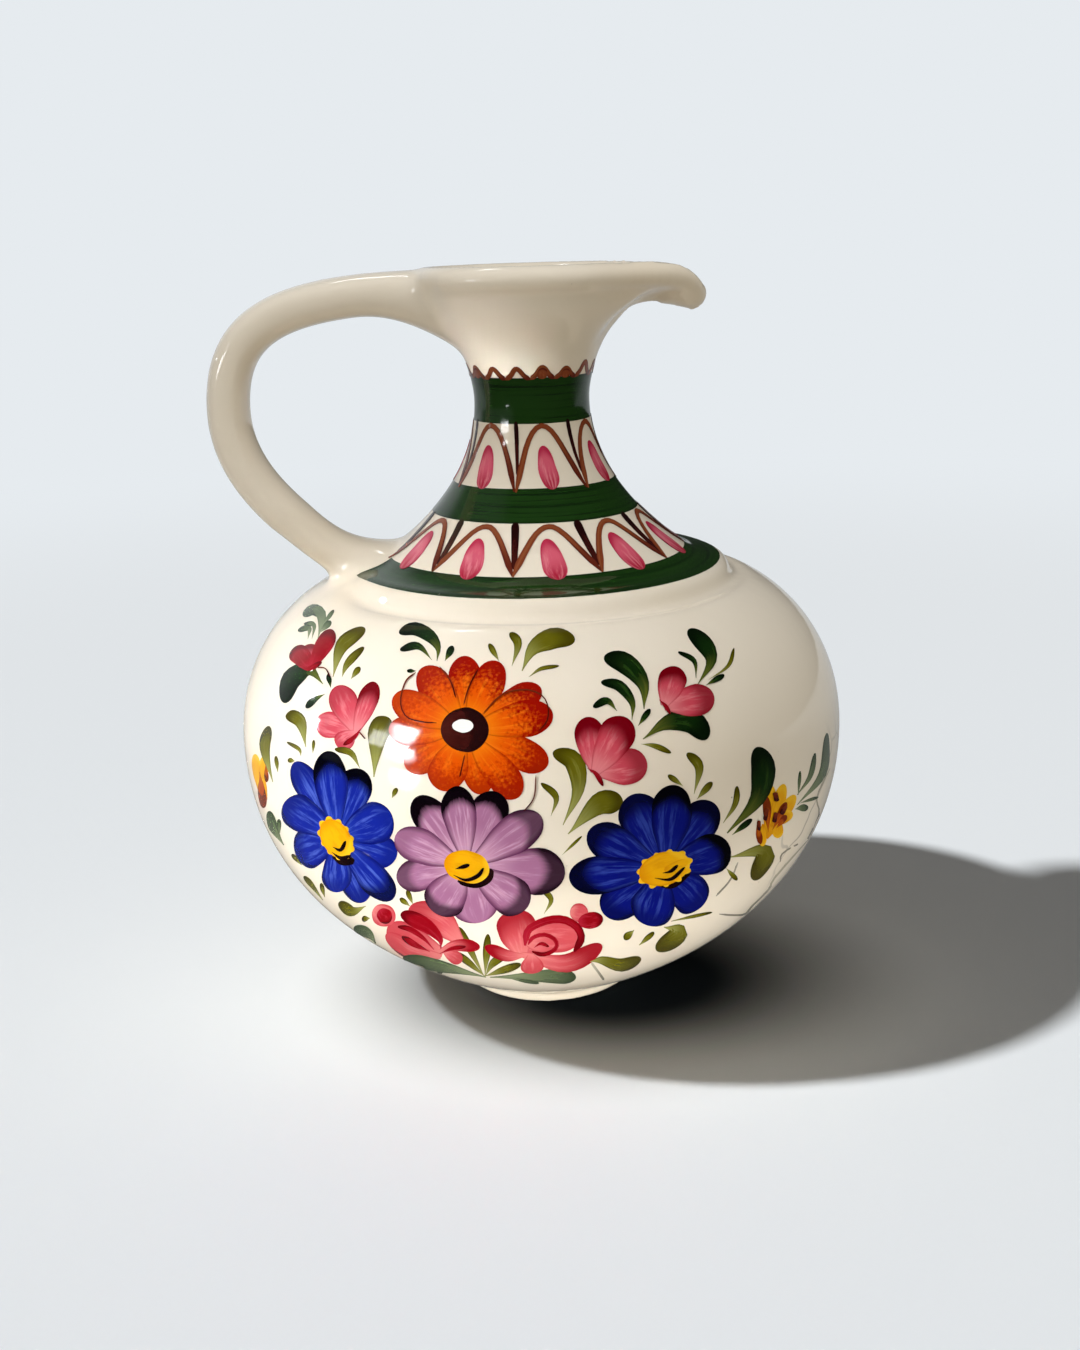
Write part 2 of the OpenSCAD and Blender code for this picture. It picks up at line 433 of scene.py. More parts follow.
# %% Tools for materials
def ink(red, green, blue):
    """A colour as seen on a screen, 0 to 255, made linear for a shader."""
    linear = []
    for part in (red, green, blue):
        share = part / 255
        linear.append(share / 12.92 if share <= 0.04045 else ((share + 0.055) / 1.055) ** 2.4)
    return (*linear, 1.0)


class Nodes:
    """Adds nodes to a tree and links them, so that a material reads like a recipe."""

    def __init__(self, tree):
        self.tree = tree

    def add(self, kind, settings=None, **inputs):
        node = self.tree.nodes.new("ShaderNode" + kind)
        for key, value in (settings or {}).items():
            setattr(node, key, value)
        for key, value in inputs.items():
            self.feed(node, key.replace("_", " "), value)
        return node

    def feed(self, node, socket, value):
        if hasattr(value, "is_output"):
            self.tree.links.new(value, node.inputs[socket])
        else:
            node.inputs[socket].default_value = value

    def fill(self, node, *values):
        """Feed a node's inputs in their order."""
        for index, value in enumerate(values):
            self.feed(node, index, value)
        return node

    def math(self, operation, *values):
        return self.fill(self.add("Math", {"operation": operation}), *values).outputs[0]

    def times(self, first, second):
        return self.math("MULTIPLY", first, second)

    def vector(self, operation, *values):
        node = self.fill(self.add("VectorMath", {"operation": operation}), *values)
        return node.outputs["Value" if operation in ("LENGTH", "DOT_PRODUCT") else "Vector"]

    def ramp(self, value, start, stop, low=0.0, high=1.0):
        """A soft step from low to high as the value goes from start to stop."""
        node = self.add("MapRange", {"interpolation_type": "SMOOTHSTEP"})
        return self.fill(node, value, start, stop, low, high).outputs["Result"]

    def mix(self, share, first, second):
        node = self.add("Mix", {"data_type": "RGBA"})
        for socket, value in ((0, share), (6, first), (7, second)):
            self.feed(node, socket, value)
        return node.outputs[2]

    def either(self, share, first, second):
        """The first shader where share is 0, the second where it is 1."""
        return self.fill(self.add("MixShader"), share, first.outputs[0], second.outputs[0])

    def noise(self, place, scale, detail=2.0, rough=0.5):
        node = self.add("TexNoise", Vector=place, Scale=scale, Detail=detail, Roughness=rough)
        return node.outputs["Fac"]


def empty_nodes(owner):
    """The emptied node tree of a material or a world."""
    owner.use_nodes = True
    owner.node_tree.nodes.clear()
    return Nodes(owner.node_tree)


def new_group(name, inputs, outputs):
    tree = bpy.data.node_groups.new(name, "ShaderNodeTree")
    for label, kind, value in inputs:
        socket = tree.interface.new_socket(label, in_out="INPUT", socket_type=kind)
        socket.default_value = value
    for label, kind in outputs:
        tree.interface.new_socket(label, in_out="OUTPUT", socket_type=kind)
    nodes = Nodes(tree)
    start = tree.nodes.new("NodeGroupInput").outputs
    end = tree.nodes.new("NodeGroupOutput")
    return nodes, start, end


# %% [markdown]
# ## Glaze
# The glaze is a glossy ivory glass over pale clay. Close up it isn't even: it runs in low waves,
# it is warmer where it lies thick, iron in the clay leaves tiny dark specks, and age leaves
# hairline cracks on one side of the belly. The waves belong to every glazed surface, painted or
# not, so they are a node group that each material shares.

# %% Glaze
IVORY = ink(238, 227, 207)
WARM_IVORY = ink(229, 212, 182)
SPECK = ink(92, 74, 58)
CRACK = ink(120, 112, 100)
BARE_CLAY = ink(203, 180, 146)
COLOUR = "NodeSocketColor"
VALUE = "NodeSocketFloat"
FLOW_SIZE = 55.0
PEEL_SIZE = 420.0

flow, _, flow_end = new_group("glaze_flow", [], [("Height", VALUE), ("Roughness", VALUE)])
where = flow.add("TexCoord").outputs["Object"]
waves = flow.noise(where, FLOW_SIZE)
peel = flow.noise(where, PEEL_SIZE)
height = flow.math("MULTIPLY_ADD", peel, 0.07, waves)
flow.feed(flow_end, "Height", height)
flow.feed(flow_end, "Roughness", flow.ramp(peel, 0.35, 0.75, 0.06, 0.12))
GLAZE_FLOW = flow.tree

WAVE_DEPTH = 0.16 * MM


def glazed(name):
    """A material with the shared gloss: its nodes and its shader."""
    material = bpy.data.materials.new(name)
    nodes = empty_nodes(material)
    end = nodes.add("OutputMaterial")
    shader = nodes.add("BsdfPrincipled", IOR=1.5)
    nodes.feed(end, "Surface", shader.outputs[0])
    surface = nodes.add("Group", {"node_tree": GLAZE_FLOW})
    bump = nodes.add("Bump", Height=surface.outputs["Height"], Distance=WAVE_DEPTH, Strength=1.0)
    nodes.feed(shader, "Normal", bump.outputs["Normal"])
    nodes.feed(shader, "Roughness", surface.outputs["Roughness"])
    return material, nodes, shader


CLOUD_SIZE, SPECK_SIZE, SPECK_PATCHES = 14.0, 170.0, 60.0


def ivory_colour(nodes):
    """Ivory, warmer in soft clouds, with specks here and there."""
    place = nodes.add("TexCoord").outputs["Object"]
    clouds = nodes.ramp(nodes.noise(place, CLOUD_SIZE, 3.0), 0.42, 0.75, 0.0, 0.45)
    colour = nodes.mix(clouds, IVORY, WARM_IVORY)
    cells = nodes.add("TexVoronoi", Vector=place, Scale=SPECK_SIZE)
    sparse = nodes.ramp(nodes.noise(place, SPECK_PATCHES), 0.56, 0.62)
    specks = nodes.times(nodes.ramp(cells.outputs["Distance"], 0.055, 0.02), sparse)
    return nodes.mix(nodes.times(specks, 0.7), colour, SPECK), place


ivory, nodes, shader = glazed("ivory_glaze")
colour, place = ivory_colour(nodes)
nodes.feed(shader, "Base Color", colour)
print("material:", ivory.name, "with", len(ivory.node_tree.nodes), "nodes")

# %% [markdown]
# The belly has hairline cracks low down on its right, where the glaze has aged, and the foot is
# wiped to the bare clay where it stands. Both are the same glaze with one more layer of nodes.

# %% Aged belly and wiped foot
CRACK_BENDS, CRACK_SIZE, CRACK_BREAKS = 70.0, 26.0, 45.0
RAGGED_EDGE, GRIT_SIZE = 160.0, 900.0

aged, nodes, shader = glazed("aged_ivory_glaze")
colour, place = ivory_colour(nodes)
bends = nodes.add("TexNoise", Vector=place, Scale=CRACK_BENDS).outputs["Color"]
bent = nodes.vector("MULTIPLY_ADD", bends, (0.012, 0.012, 0.012), place)
web = nodes.add("TexVoronoi", {"feature": "DISTANCE_TO_EDGE"}, Vector=bent, Scale=CRACK_SIZE)
lines = nodes.ramp(web.outputs["Distance"], 0.016, 0.005)
sides = nodes.add("SeparateXYZ", Vector=place).outputs
to_right = nodes.ramp(sides["X"], 52 * MM, 68 * MM)
low_down = nodes.ramp(sides["Z"], 88 * MM, 70 * MM)
broken = nodes.ramp(nodes.noise(place, CRACK_BREAKS), 0.46, 0.58)
cracked = nodes.times(nodes.times(to_right, low_down), broken)
cracked = nodes.times(nodes.times(cracked, lines), 0.5)
nodes.feed(shader, "Base Color", nodes.mix(cracked, colour, CRACK))

wiped, nodes, shader = glazed("wiped_foot")
colour, place = ivory_colour(nodes)
rise = nodes.add("SeparateXYZ", Vector=place).outputs["Z"]
ragged = nodes.math("MULTIPLY_ADD", nodes.noise(place, RAGGED_EDGE), 0.9 * MM, rise)
bare = nodes.ramp(ragged, 1.1 * MM, 0.7 * MM)
grit = nodes.ramp(nodes.noise(place, GRIT_SIZE), 0.4, 0.7, 0.0, 0.35)
dusty = nodes.mix(grit, BARE_CLAY, SPECK)
nodes.feed(shader, "Base Color", nodes.mix(bare, colour, dusty))
nodes.feed(shader, "Roughness", nodes.ramp(bare, 0.0, 1.0, 0.1, 0.85))

FINISH = {"foot_ring": wiped, "lower_bowl": aged, "upper_bowl": aged}
for node, piece in clay.items():
    piece.data.materials.clear()
    piece.data.materials.append(FINISH.get(node, ivory))
print("glaze on", len(clay), "pieces")

# %% [markdown]
# ## A brush stroke
# All the painting is done in strokes. A stroke is a grid, one unit long and one wide, whose
# rows are pinched to the print of a brush: a petal, a leaf with a thin tail, an oval, or a
# line. It is copied, bent along its path and laid on the glaze. The grid's own coordinates stay
# on it as a UV map, along and across the stroke, so that the paint can follow the bristles.

# %% Brushes
ROUND_FROM = 0.66


def swelling(along, start, power):
    """Swells from a start width to the full one, then ends round."""
    if along > ROUND_FROM:
        return math.sqrt(max(0.0, 1 - ((along - ROUND_FROM) / (1 - ROUND_FROM)) ** 2))
    return start + (1 - start) * math.sin(0.5 * math.pi * along / ROUND_FROM) ** power


PRINTS = {
    "petal": (18, 10, lambda along: swelling(along, 0.28, 1.1)),
    "leaf": (18, 6, lambda along: swelling(along, 0.04, 1.5)),
    "oval": (18, 10, lambda along: math.sqrt(max(0.0, 1 - (2 * along - 1) ** 2))),
    "line": (22, 3, lambda along: min(1.0, 0.25 + 9 * along, 9.25 - 9 * along)),
    "wedge": (14, 3, lambda along: min(0.45 + 0.55 * along, 0.2 + 8 * along, 9.4 - 9 * along)),
    "dab": (16, 8, lambda along: (1 - abs(2 * along - 1) ** 2.6) ** 0.5 * (1 - 0.2 * along)),
    "band": (300, 8, lambda along: 1.0),
}


def make_brush(name, rows, columns, outline):
    """A grid from 0 to 1 along X, its rows pinched to the outline and closer at the ends."""
    bpy.ops.object.select_all(action="DESELECT")
    bpy.ops.mesh.primitive_grid_add(
        x_subdivisions=rows, y_subdivisions=columns, size=1, location=(0.5, 0, 0)
    )
    brush = bpy.context.object
    brush.name = "brush_" + name
    bpy.ops.object.transform_apply(location=True, rotation=True, scale=True)
    brush.data.uv_layers[0].name = "stroke"
    for vertex in brush.data.vertices:
        share = vertex.co.x
        along = share if name == "band" else 0.5 - 0.5 * math.cos(math.pi * share)
        vertex.co.x = along
        vertex.co.y *= max(0.03, outline(along))
    for corner, spot in zip(brush.data.loops, brush.data.uv_layers["stroke"].uv):
        spot.vector.x = brush.data.vertices[corner.vertex_index].co.x
    brush.hide_render = True
    return brush


BRUSH = {name: make_brush(name, *values) for name, values in PRINTS.items()}
print("brushes:", sorted(BRUSH))

# %% [markdown]
# ## Places on the glaze
# A stroke's path is a smooth line through a few points. Where it belongs in the photograph, it
# is laid out in photo pixels and cast through the lens on to the belly, so it sits on the glaze
# from every side. Round the neck it is laid out as an angle and a height instead, and cast in
# from the side.


# %% Finding places on the glaze
def on_path(points, along):
    """Place and direction on a smooth line through the points."""
    spans = len(points) - 1
    step = min(int(along * spans), spans - 1)
    local = along * spans - step
    first, second = points[step], points[step + 1]
    before = points[step - 1] if step > 0 else 2 * first - second
    after = points[step + 2] if step + 2 <= spans else 2 * second - first
    pull_in, pull_out = (second - before) / 2, (after - first) / 2
    a = 2 * first - 2 * second + pull_in + pull_out
    b = -3 * first + 3 * second - 2 * pull_in - pull_out
    spot = ((a * local + b) * local + pull_in) * local + first
    way = (3 * a * local + 2 * b) * local + pull_in
    return spot, way.normalized()


def on_belly(across, down):
    """The spot on the glaze that a photo pixel shows."""
    for _ in range(40):
        found, spot, normal, _ = skin.ray_cast(EYE, through_lens(across, down))
        if found:
            return spot, normal
        across += (PHOTO_WIDTH / 2 - across) * 0.01
        down += (PHOTO_HEIGHT / 2 - down) * 0.01
    raise ValueError("a stroke misses the jug")


def round_neck(radius, slant, reach=7 * MM):
    """Lays (angle x radius, height x slant), both in millimetres, round the neck."""

    def place(across, up):
        angle = across / radius
        height = up / slant * MM
        out = Vector((math.sin(angle), -math.cos(angle), 0))
        inside = Vector((0, 0, height))
        found, spot, normal, _ = skin.ray_cast(inside + out * neck_radius(height, reach), -out)
        return (spot, normal) if found else (inside + out * radius * MM, out)

    return place


def neck_radius(height, reach):
    """A little more than the neck's radius at a height, seen on the side away from the handle."""
    start = Vector((120 * MM, 0, height))
    _, spot, _, _ = skin.ray_cast(start, Vector((-1, 0, 0)))
    return spot.x + reach


def round_ledge(radius):
    """Lays (angle x radius, distance from the axis), in millimetres, on top of the ledge."""

    def place(across, outward):
        angle = across / radius
        start = Vector((math.sin(angle), -math.cos(angle), 0)) * outward * MM
        start.z = 132 * MM
        _, spot, normal, _ = skin.ray_cast(start, Vector((0, 0, -1)))
        return spot, normal

    return place


# %% [markdown]
# ## Laying strokes
# The strokes of one paint make one painted piece. Each stroke sways a little, as a hand does, and
# lies about a hundredth of a millimetre higher than the one before. The joined strokes get a
# thickness that sinks into the glaze, so that the coat is a closed solid with no gap under it.

# %% Laying strokes
LIFT = 0.05 * MM
LAYER = 0.02 * MM
OVERLAP = 0.008 * MM
SINK = 0.2 * MM
HAND = 0.05


class Painting:
    """One painted piece: strokes that share a paint, joined into one thin coat."""

    def __init__(self, name, paint, layer=0):
        self.name, self.paint, self.layer, self.strokes = name, paint, layer, []

    def stroke(self, brush, points, width, place=on_belly, tip=1.0, hand=HAND):
        """Lay one stroke from its tail to its heavy end."""
        path = [Vector(point) for point in points]
        mesh = BRUSH[brush].data.copy()
        count = len(self.strokes)
        seed = 0.37 * count + 0.11 * self.layer
        lift = LIFT + LAYER * self.layer + OVERLAP * (count % 16)
        for vertex in mesh.vertices:
            along, side = vertex.co.x, vertex.co.y
            spot, way = on_path(path, along)
            sway = noise.noise((along * 3.1, seed * 9.7, 1.0 if side > 0 else 5.0))
            flat = spot + Vector((-way.y, way.x)) * side * width * (1 + 2 * hand * sway)
            ground, normal = place(flat.x, flat.y)
            vertex.co = ground + normal * lift
        for label, value in (("seed", seed % 1.0), ("tip", tip)):
            layer = mesh.attributes.new(label, "FLOAT", "POINT")
            layer.data.foreach_set("value", [value] * len(mesh.vertices))
        obj = bpy.data.objects.new(self.name, mesh)
        bpy.context.scene.collection.objects.link(obj)
        self.strokes.append(obj)

    def finish(self):
        """Join the strokes, turn them outwards, and give the coat a thickness."""
        coat = join(self.strokes, self.name)
        coat.data.materials.clear()
        coat.data.materials.append(self.paint)
        turn_outwards(coat)
        modify(coat, "SOLIDIFY", thickness=SINK, offset=-1)
        shade_like_skin(coat)
        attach(coat, "root")
        print(self.name, len(self.strokes), "strokes,", len(coat.data.polygons), "faces")


def paint_strokes(name, colour, layer, brush, strokes):
    """One painted piece from strokes of one brush, each a width and the points of its path."""
    painting = Painting(name, colour, layer)
    for width, *path in strokes:
        painting.stroke(brush, path, width)
    painting.finish()


def turn_outwards(coat):
    """Flip the faces that look into the jug."""
    mesh = coat.data
    inward = []
    for face in mesh.polygons:
        _, _, normal, _ = skin.closest_point_on_mesh(face.center)
        if face.normal.dot(normal) < 0:
            inward.append(face.index)
    edit_all(coat)
    bpy.ops.mesh.select_mode(type="FACE")
    bpy.ops.mesh.select_all(action="DESELECT")
    bpy.ops.object.mode_set(mode="OBJECT")
    for index in inward:
        mesh.polygons[index].select = True
    bpy.ops.object.mode_set(mode="EDIT")
    bpy.ops.mesh.flip_normals()
    bpy.ops.object.mode_set(mode="OBJECT")


# %% [markdown]
# ## Paint
# A loaded brush leaves its colour in streaks along the stroke, a darker line where the paint
# gathers at the edge, and its second colour where the tip was dipped. One node group makes all
# of that from the stroke's own coordinates, and every paint uses it with its own colours.

# %% Paint
STREAK_STRETCH, GRAIN_SIZE = 1.6, 1300.0
stroke_inputs = [(part, COLOUR, IVORY) for part in ("Root", "Body", "Streak", "Tip", "Edge")]
stroke_inputs += [
    ("Root End", VALUE, 0.5),
    ("Streaks", VALUE, 9.0),
    ("Streak Share", VALUE, 0.6),
    ("Tip Start", VALUE, 0.62),
    ("Tip Softness", VALUE, 0.16),
    ("Edge Width", VALUE, 0.12),
    ("Edge Share", VALUE, 0.7),
    ("Grain", VALUE, 0.0),
]
mark, given, mark_end = new_group("brush_stroke", stroke_inputs, [("Color", COLOUR)])
spot = mark.add("UVMap", {"uv_map": "stroke"})
spot = mark.add("SeparateXYZ", Vector=spot.outputs[0])
along, across = spot.outputs["X"], spot.outputs["Y"]
seed = mark.add("Attribute", {"attribute_name": "seed"}).outputs["Fac"]
tip_load = mark.add("Attribute", {"attribute_name": "tip"}).outputs["Fac"]

# Streaks: noise stretched along the stroke, in another place for each stroke.
bristles = mark.add(
    "CombineXYZ",
    X=mark.math("MULTIPLY_ADD", seed, 19.0, mark.times(along, STREAK_STRETCH)),
    Y=mark.times(across, given["Streaks"]),
    Z=mark.times(seed, 41.0),
).outputs[0]
streak_noise = mark.noise(bristles, 1.0, 4.0, 0.65)
fading = mark.ramp(along, 0.55, 0.95, 1.0, 0.15)
streaks = mark.times(mark.ramp(streak_noise, 0.47, 0.66), fading)
streaks = mark.times(streaks, given["Streak Share"])

# Edge: a ragged line where the paint gathers along both sides.
off_middle = mark.math("SUBTRACT", across, 0.5)
side = mark.math("ABSOLUTE", off_middle)
ragged_side = mark.math("MULTIPLY_ADD", streak_noise, 0.1, side)
edge_start = mark.math("SUBTRACT", 0.55, given["Edge Width"])
edge = mark.ramp(ragged_side, edge_start, 0.56)
edge = mark.times(edge, given["Edge Share"])

# Tip: the second colour begins at a line that is bowed, grainy, and leans to one side.
bowed = mark.times(mark.times(side, side), 0.7)
grain_place = mark.add("TexCoord").outputs["Object"]
grains = mark.math("SUBTRACT", mark.noise(grain_place, GRAIN_SIZE), 0.5)
reach = mark.math("MULTIPLY_ADD", streak_noise, 0.1, along)
reach = mark.math("MULTIPLY_ADD", grains, given["Grain"], reach)
reach = mark.math("ADD", reach, bowed)
lean = mark.math("FRACT", mark.times(seed, 7.3))
lean = mark.times(mark.math("SUBTRACT", lean, 0.5), off_middle)
reach = mark.math("MULTIPLY_ADD", lean, 0.3, reach)
tip_stop = mark.math("ADD", given["Tip Start"], given["Tip Softness"])
tip_share = mark.ramp(reach, given["Tip Start"], tip_stop)
tip_share = mark.times(tip_share, tip_load)

# Layers: root and body below, then streaks, edge and tip.
ragged_along = mark.math("MULTIPLY_ADD", streak_noise, 0.3, along)
ragged_along = mark.math("SUBTRACT", ragged_along, 0.15)
ground = mark.ramp(ragged_along, 0.0, given["Root End"])
colour = mark.mix(ground, given["Root"], given["Body"])
colour = mark.mix(streaks, colour, given["Streak"])
colour = mark.mix(edge, colour, given["Edge"])
colour = mark.mix(tip_share, colour, given["Tip"])
mark.feed(mark_end, "Color", colour)
BRUSH_STROKE = mark.tree
print("brush stroke:", len(BRUSH_STROKE.nodes), "nodes")

# %% [markdown]
# The neck has four paints: a deep green, a russet, a dark brown and a pink. A paint is five
# colours, for the stroke's root, body, streaks, tip and edge, and a few numbers.


# %% Paints of the neck
def paint(name, *colours, **numbers):
    """A glazed paint: brush_stroke with its root, body, streak, tip and edge colours."""
    material, nodes, shader = glazed(name)
    group = nodes.add("Group", {"node_tree": BRUSH_STROKE})
    nodes.fill(group, *[ink(*colour) for colour in colours])
    for label, value in numbers.items():
        nodes.feed(group, label.replace("_", " ").title(), value)
    nodes.feed(shader, "Base Color", group.outputs["Color"])
    return material


BAND_GREEN = paint(
    "band_green", (28, 58, 18), (28, 58, 18), (12, 34, 10), (28, 58, 18), (10, 32, 8),
    streaks=7.0, streak_share=0.75, tip_start=2.0, edge_width=0.06, edge_share=0.5,
)
RUSSET = paint(
    "russet_line", (126, 60, 34), (134, 66, 36), (160, 92, 54), (96, 36, 22), (108, 46, 28),
    streaks=3.0, streak_share=0.5, tip_start=0.8, tip_softness=0.2, edge_width=0.2,
    edge_share=0.5,
)
DARK_BROWN = paint(
    "dark_brown", (64, 20, 14), (52, 14, 12), (84, 30, 22), (34, 8, 8), (38, 10, 8), streaks=3.0,
    streak_share=0.4,
)
ARCH_PINK = paint(
    "arch_pink", (168, 24, 52), (214, 92, 112), (232, 150, 158), (186, 44, 74), (190, 54, 82),
    root_end=0.5, streaks=5.0, streak_share=0.55, tip_start=0.72, tip_softness=0.3,
    edge_width=0.2, edge_share=0.5,
)
print("paints:", BAND_GREEN.name, RUSSET.name, DARK_BROWN.name, ARCH_PINK.name)

# %% [markdown]
# ## Bands and arches round the neck
# Three green bands were run round the neck on a wheel, with a scalloped russet line over the
# top one. Between them stand two rows of arches, each with a pink petal under it and a dark
# wedge between it and the next. One arch is described once and repeated round the neck.

# %% Bands
THROAT_RADIUS = 16.5
BAND_ROWS = {"throat": (163.6, 175.6, 16.0, 1.0), "waist": (139.2, 147.3, 25.0, 1.2)}
LEDGE_BAND = (41.2, 51.1)
LEDGE_RADIUS = 46.0
HANDLE_SIDE = math.radians(-90)
ROOT_HALF = math.radians(17)
BAND_LAP = 1.002

bands = Painting("green_bands", BAND_GREEN)
for low, high, radius, slant in BAND_ROWS.values():
    middle = (low + high) / 2 * slant
    half_turn = TURN / 2 * radius * BAND_LAP
    path = [(half_turn * (i / 12 - 1), middle) for i in range(25)]
    bands.stroke("band", path, (high - low) * slant, round_neck(radius, slant), hand=0.02)
middle = sum(LEDGE_BAND) / 2
first = (HANDLE_SIDE + ROOT_HALF) * LEDGE_RADIUS
last = (HANDLE_SIDE + TURN - ROOT_HALF) * LEDGE_RADIUS
path = [(first + (last - first) * i / 24, middle) for i in range(25)]
bands.stroke("band", path, LEDGE_BAND[1] - LEDGE_BAND[0], round_ledge(LEDGE_RADIUS), hand=0.02)
bands.finish()

# %% Scallops
SCALLOPS = 16
SCALLOP_FOOT, SCALLOP_TOP = 175.2, 178.1
scallops = Painting("scalloped_line", RUSSET, 3)
for i in range(SCALLOPS):
    centre = math.radians(10 + 360 * i / SCALLOPS) * THROAT_RADIUS
    half = TURN / SCALLOPS * THROAT_RADIUS / 2
    rise = SCALLOP_TOP - SCALLOP_FOOT + 1.2 * noise.noise((i * 1.7, 0, 0))
    path = [
        (centre - half * 1.02, SCALLOP_FOOT),
        (centre - half * 0.52, SCALLOP_FOOT + rise * 0.4),
        (centre - half * 0.14, SCALLOP_FOOT + rise),
        (centre + half * 0.16, SCALLOP_FOOT + rise * 0.95),
        (centre + half * 0.56, SCALLOP_FOOT + rise * 0.36),
        (centre + half * 1.02, SCALLOP_FOOT),
    ]
    scallops.stroke("line", path, 1.3, round_neck(THROAT_RADIUS, 1.0))
    if i % 6 in (0, 1):
        fill = [(centre, SCALLOP_FOOT), (centre, SCALLOP_FOOT + rise)]
        scallops.stroke("dab", fill, half * 0.9, round_neck(THROAT_RADIUS, 1.0))
scallops.finish()

# %% Arches
ARCH_ROWS = {
    "upper": dict(count=7, first=-13.0, foot=147.0, top=163.0, radius=19.0, slant=1.07,
                  line=1.5, petal=(157.9, 147.0, 5.2), wedge=(164.2, 150.5, 1.5)),
    "lower": dict(count=11, first=-8.7, foot=128.2, top=138.4, radius=35.0, slant=1.52,
                  line=1.7, petal=(135.7, 127.1, 6.2), wedge=(139.4, 129.4, 2.7)),
}
ARCH_SHAPE = {
    "upper": [(0.01, -0.03), (0.06, 0.33), (0.14, 0.68), (0.26, 0.91), (0.41, 1.0),
              (0.57, 0.93), (0.72, 0.72), (0.87, 0.38), (0.99, -0.02)],
    "lower": [(0.0, -0.03), (0.09, 0.38), (0.22, 0.76), (0.35, 0.95), (0.47, 1.0),
              (0.59, 0.95), (0.74, 0.72), (0.89, 0.34), (1.0, -0.02)],
}
HANDLE_GAP = math.cos(math.radians(21))
arches = Painting("russet_arches", RUSSET, 6)
petals = Painting("arch_petals", ARCH_PINK, 4)
wedges = Painting("dark_wedges", DARK_BROWN, 5)
for name, row in ARCH_ROWS.items():
    place = round_neck(row["radius"], row["slant"])
    step = TURN / row["count"] * row["radius"]
    foot, top = row["foot"] * row["slant"], row["top"] * row["slant"]
    petal_top, petal_low, petal_width = row["petal"]
    wedge_top, wedge_low, wedge_width = row["wedge"]
    for i in range(row["count"]):
        left = math.radians(row["first"]) * row["radius"] + step * i
        angle = left / row["radius"] + TURN / row["count"] / 2
        if name == "lower" and math.cos(angle - HANDLE_SIDE) > HANDLE_GAP:
            continue
        sway = 0.03 * step * noise.noise((i * 2.3, 1, 0))
        path = [
            (left + step * share + sway * rise, foot + (top - foot) * rise)
            for share, rise in ARCH_SHAPE[name]
        ]
        arches.stroke("line", path, row["line"], place)
        middle = left + 0.43 * step
        petals.stroke(
            "dab",
            [
                (middle + 0.07 * step, petal_low * row["slant"]),
                (middle + 0.03 * step, (petal_low + petal_top) / 2 * row["slant"]),
                (middle - 0.02 * step, petal_top * row["slant"]),
            ],
            petal_width,
            place,
        )
        wedges.stroke(
            "wedge",
            [
                (left + 0.01 * step, wedge_low * row["slant"]),
                (left - 0.06 * step, wedge_top * row["slant"]),
            ],
            wedge_width,
            place,
        )
petals.finish()
wedges.finish()
arches.finish()

# %% [markdown]
# ## The bouquet
# Peasant painting has a fixed order: leaves first, then the flowers, and last the small dark
# lines that wake them up. Each stroke below is named by its place in the photograph, in photo
# pixels, its width there, and how much of the second colour the brush's tip carried.

# %% Leaf and flower paints
DARK_LEAF = paint(
    "dark_leaf", (104, 110, 40), (14, 40, 8), (52, 80, 26), (2, 10, 2), (5, 20, 3), root_end=0.5,
    streaks=4.0, streak_share=0.5, tip_start=0.62, tip_softness=0.35, edge_width=0.25,
    edge_share=0.6,
)
OLIVE_LEAF = paint(
    "olive_leaf", (156, 156, 84), (98, 94, 12), (136, 134, 54), (62, 54, 2), (70, 64, 4),
    root_end=0.55, streaks=4.0, streak_share=0.6, tip_start=0.66, tip_softness=0.35,
    edge_width=0.22, edge_share=0.55,
)
GREY_LEAF = paint(
    "grey_leaf", (140, 150, 112), (84, 98, 66), (116, 130, 96), (54, 70, 42), (62, 78, 50),
    root_end=0.6, streaks=4.0, streak_share=0.6, tip_start=0.7, tip_softness=0.3, edge_width=0.22,
    edge_share=0.5,
)
BLUE = paint(
    "cobalt_blue", (18, 32, 124), (7, 17, 112), (52, 74, 164), (0, 0, 5), (1, 3, 58),
    root_end=0.4, streaks=8.0, streak_share=0.62, tip_start=0.7, tip_softness=0.24,
    edge_width=0.2, edge_share=0.8,
)
# Painted light: a lighter copy of the cobalt for the left daisy, which stands in the brighter
# light on the left of the belly.
LIT_BLUE = paint(
    "lit_cobalt", (32, 52, 152), (18, 34, 136), (82, 108, 202), (0, 0, 8), (4, 8, 80),
    root_end=0.4, streaks=8.0, streak_share=0.62, tip_start=0.7, tip_softness=0.24,
    edge_width=0.2, edge_share=0.8,
)
PURPLE = paint(
    "plum_purple", (194, 146, 170), (160, 106, 138), (210, 166, 188), (6, 0, 5), (78, 20, 62),
    root_end=0.5, streaks=9.0, streak_share=0.6, tip_start=0.74, tip_softness=0.17,
    edge_width=0.22, edge_share=0.85,
)
ORANGE = paint(
    "burnt_orange", (232, 124, 10), (214, 78, 2), (236, 130, 22), (146, 12, 0), (136, 28, 0),
    root_end=0.45, streaks=7.0, streak_share=0.5, tip_start=0.46, tip_softness=0.5,
    edge_width=0.12, edge_share=0.6, grain=0.9,
)
PINK = paint(
    "tulip_pink", (222, 128, 132), (200, 70, 84), (228, 138, 142), (112, 0, 14), (168, 20, 42),
    root_end=0.5, streaks=6.0, streak_share=0.6, tip_start=0.56, tip_softness=0.36,
    edge_width=0.16, edge_share=0.6,
)
ROSE = paint(
    "rose_red", (218, 118, 116), (202, 78, 84), (226, 134, 132), (148, 6, 22), (178, 36, 48),
    root_end=0.5, streaks=6.0, streak_share=0.5, tip_start=0.42, tip_softness=0.5,
    edge_width=0.16, edge_share=0.55,
)
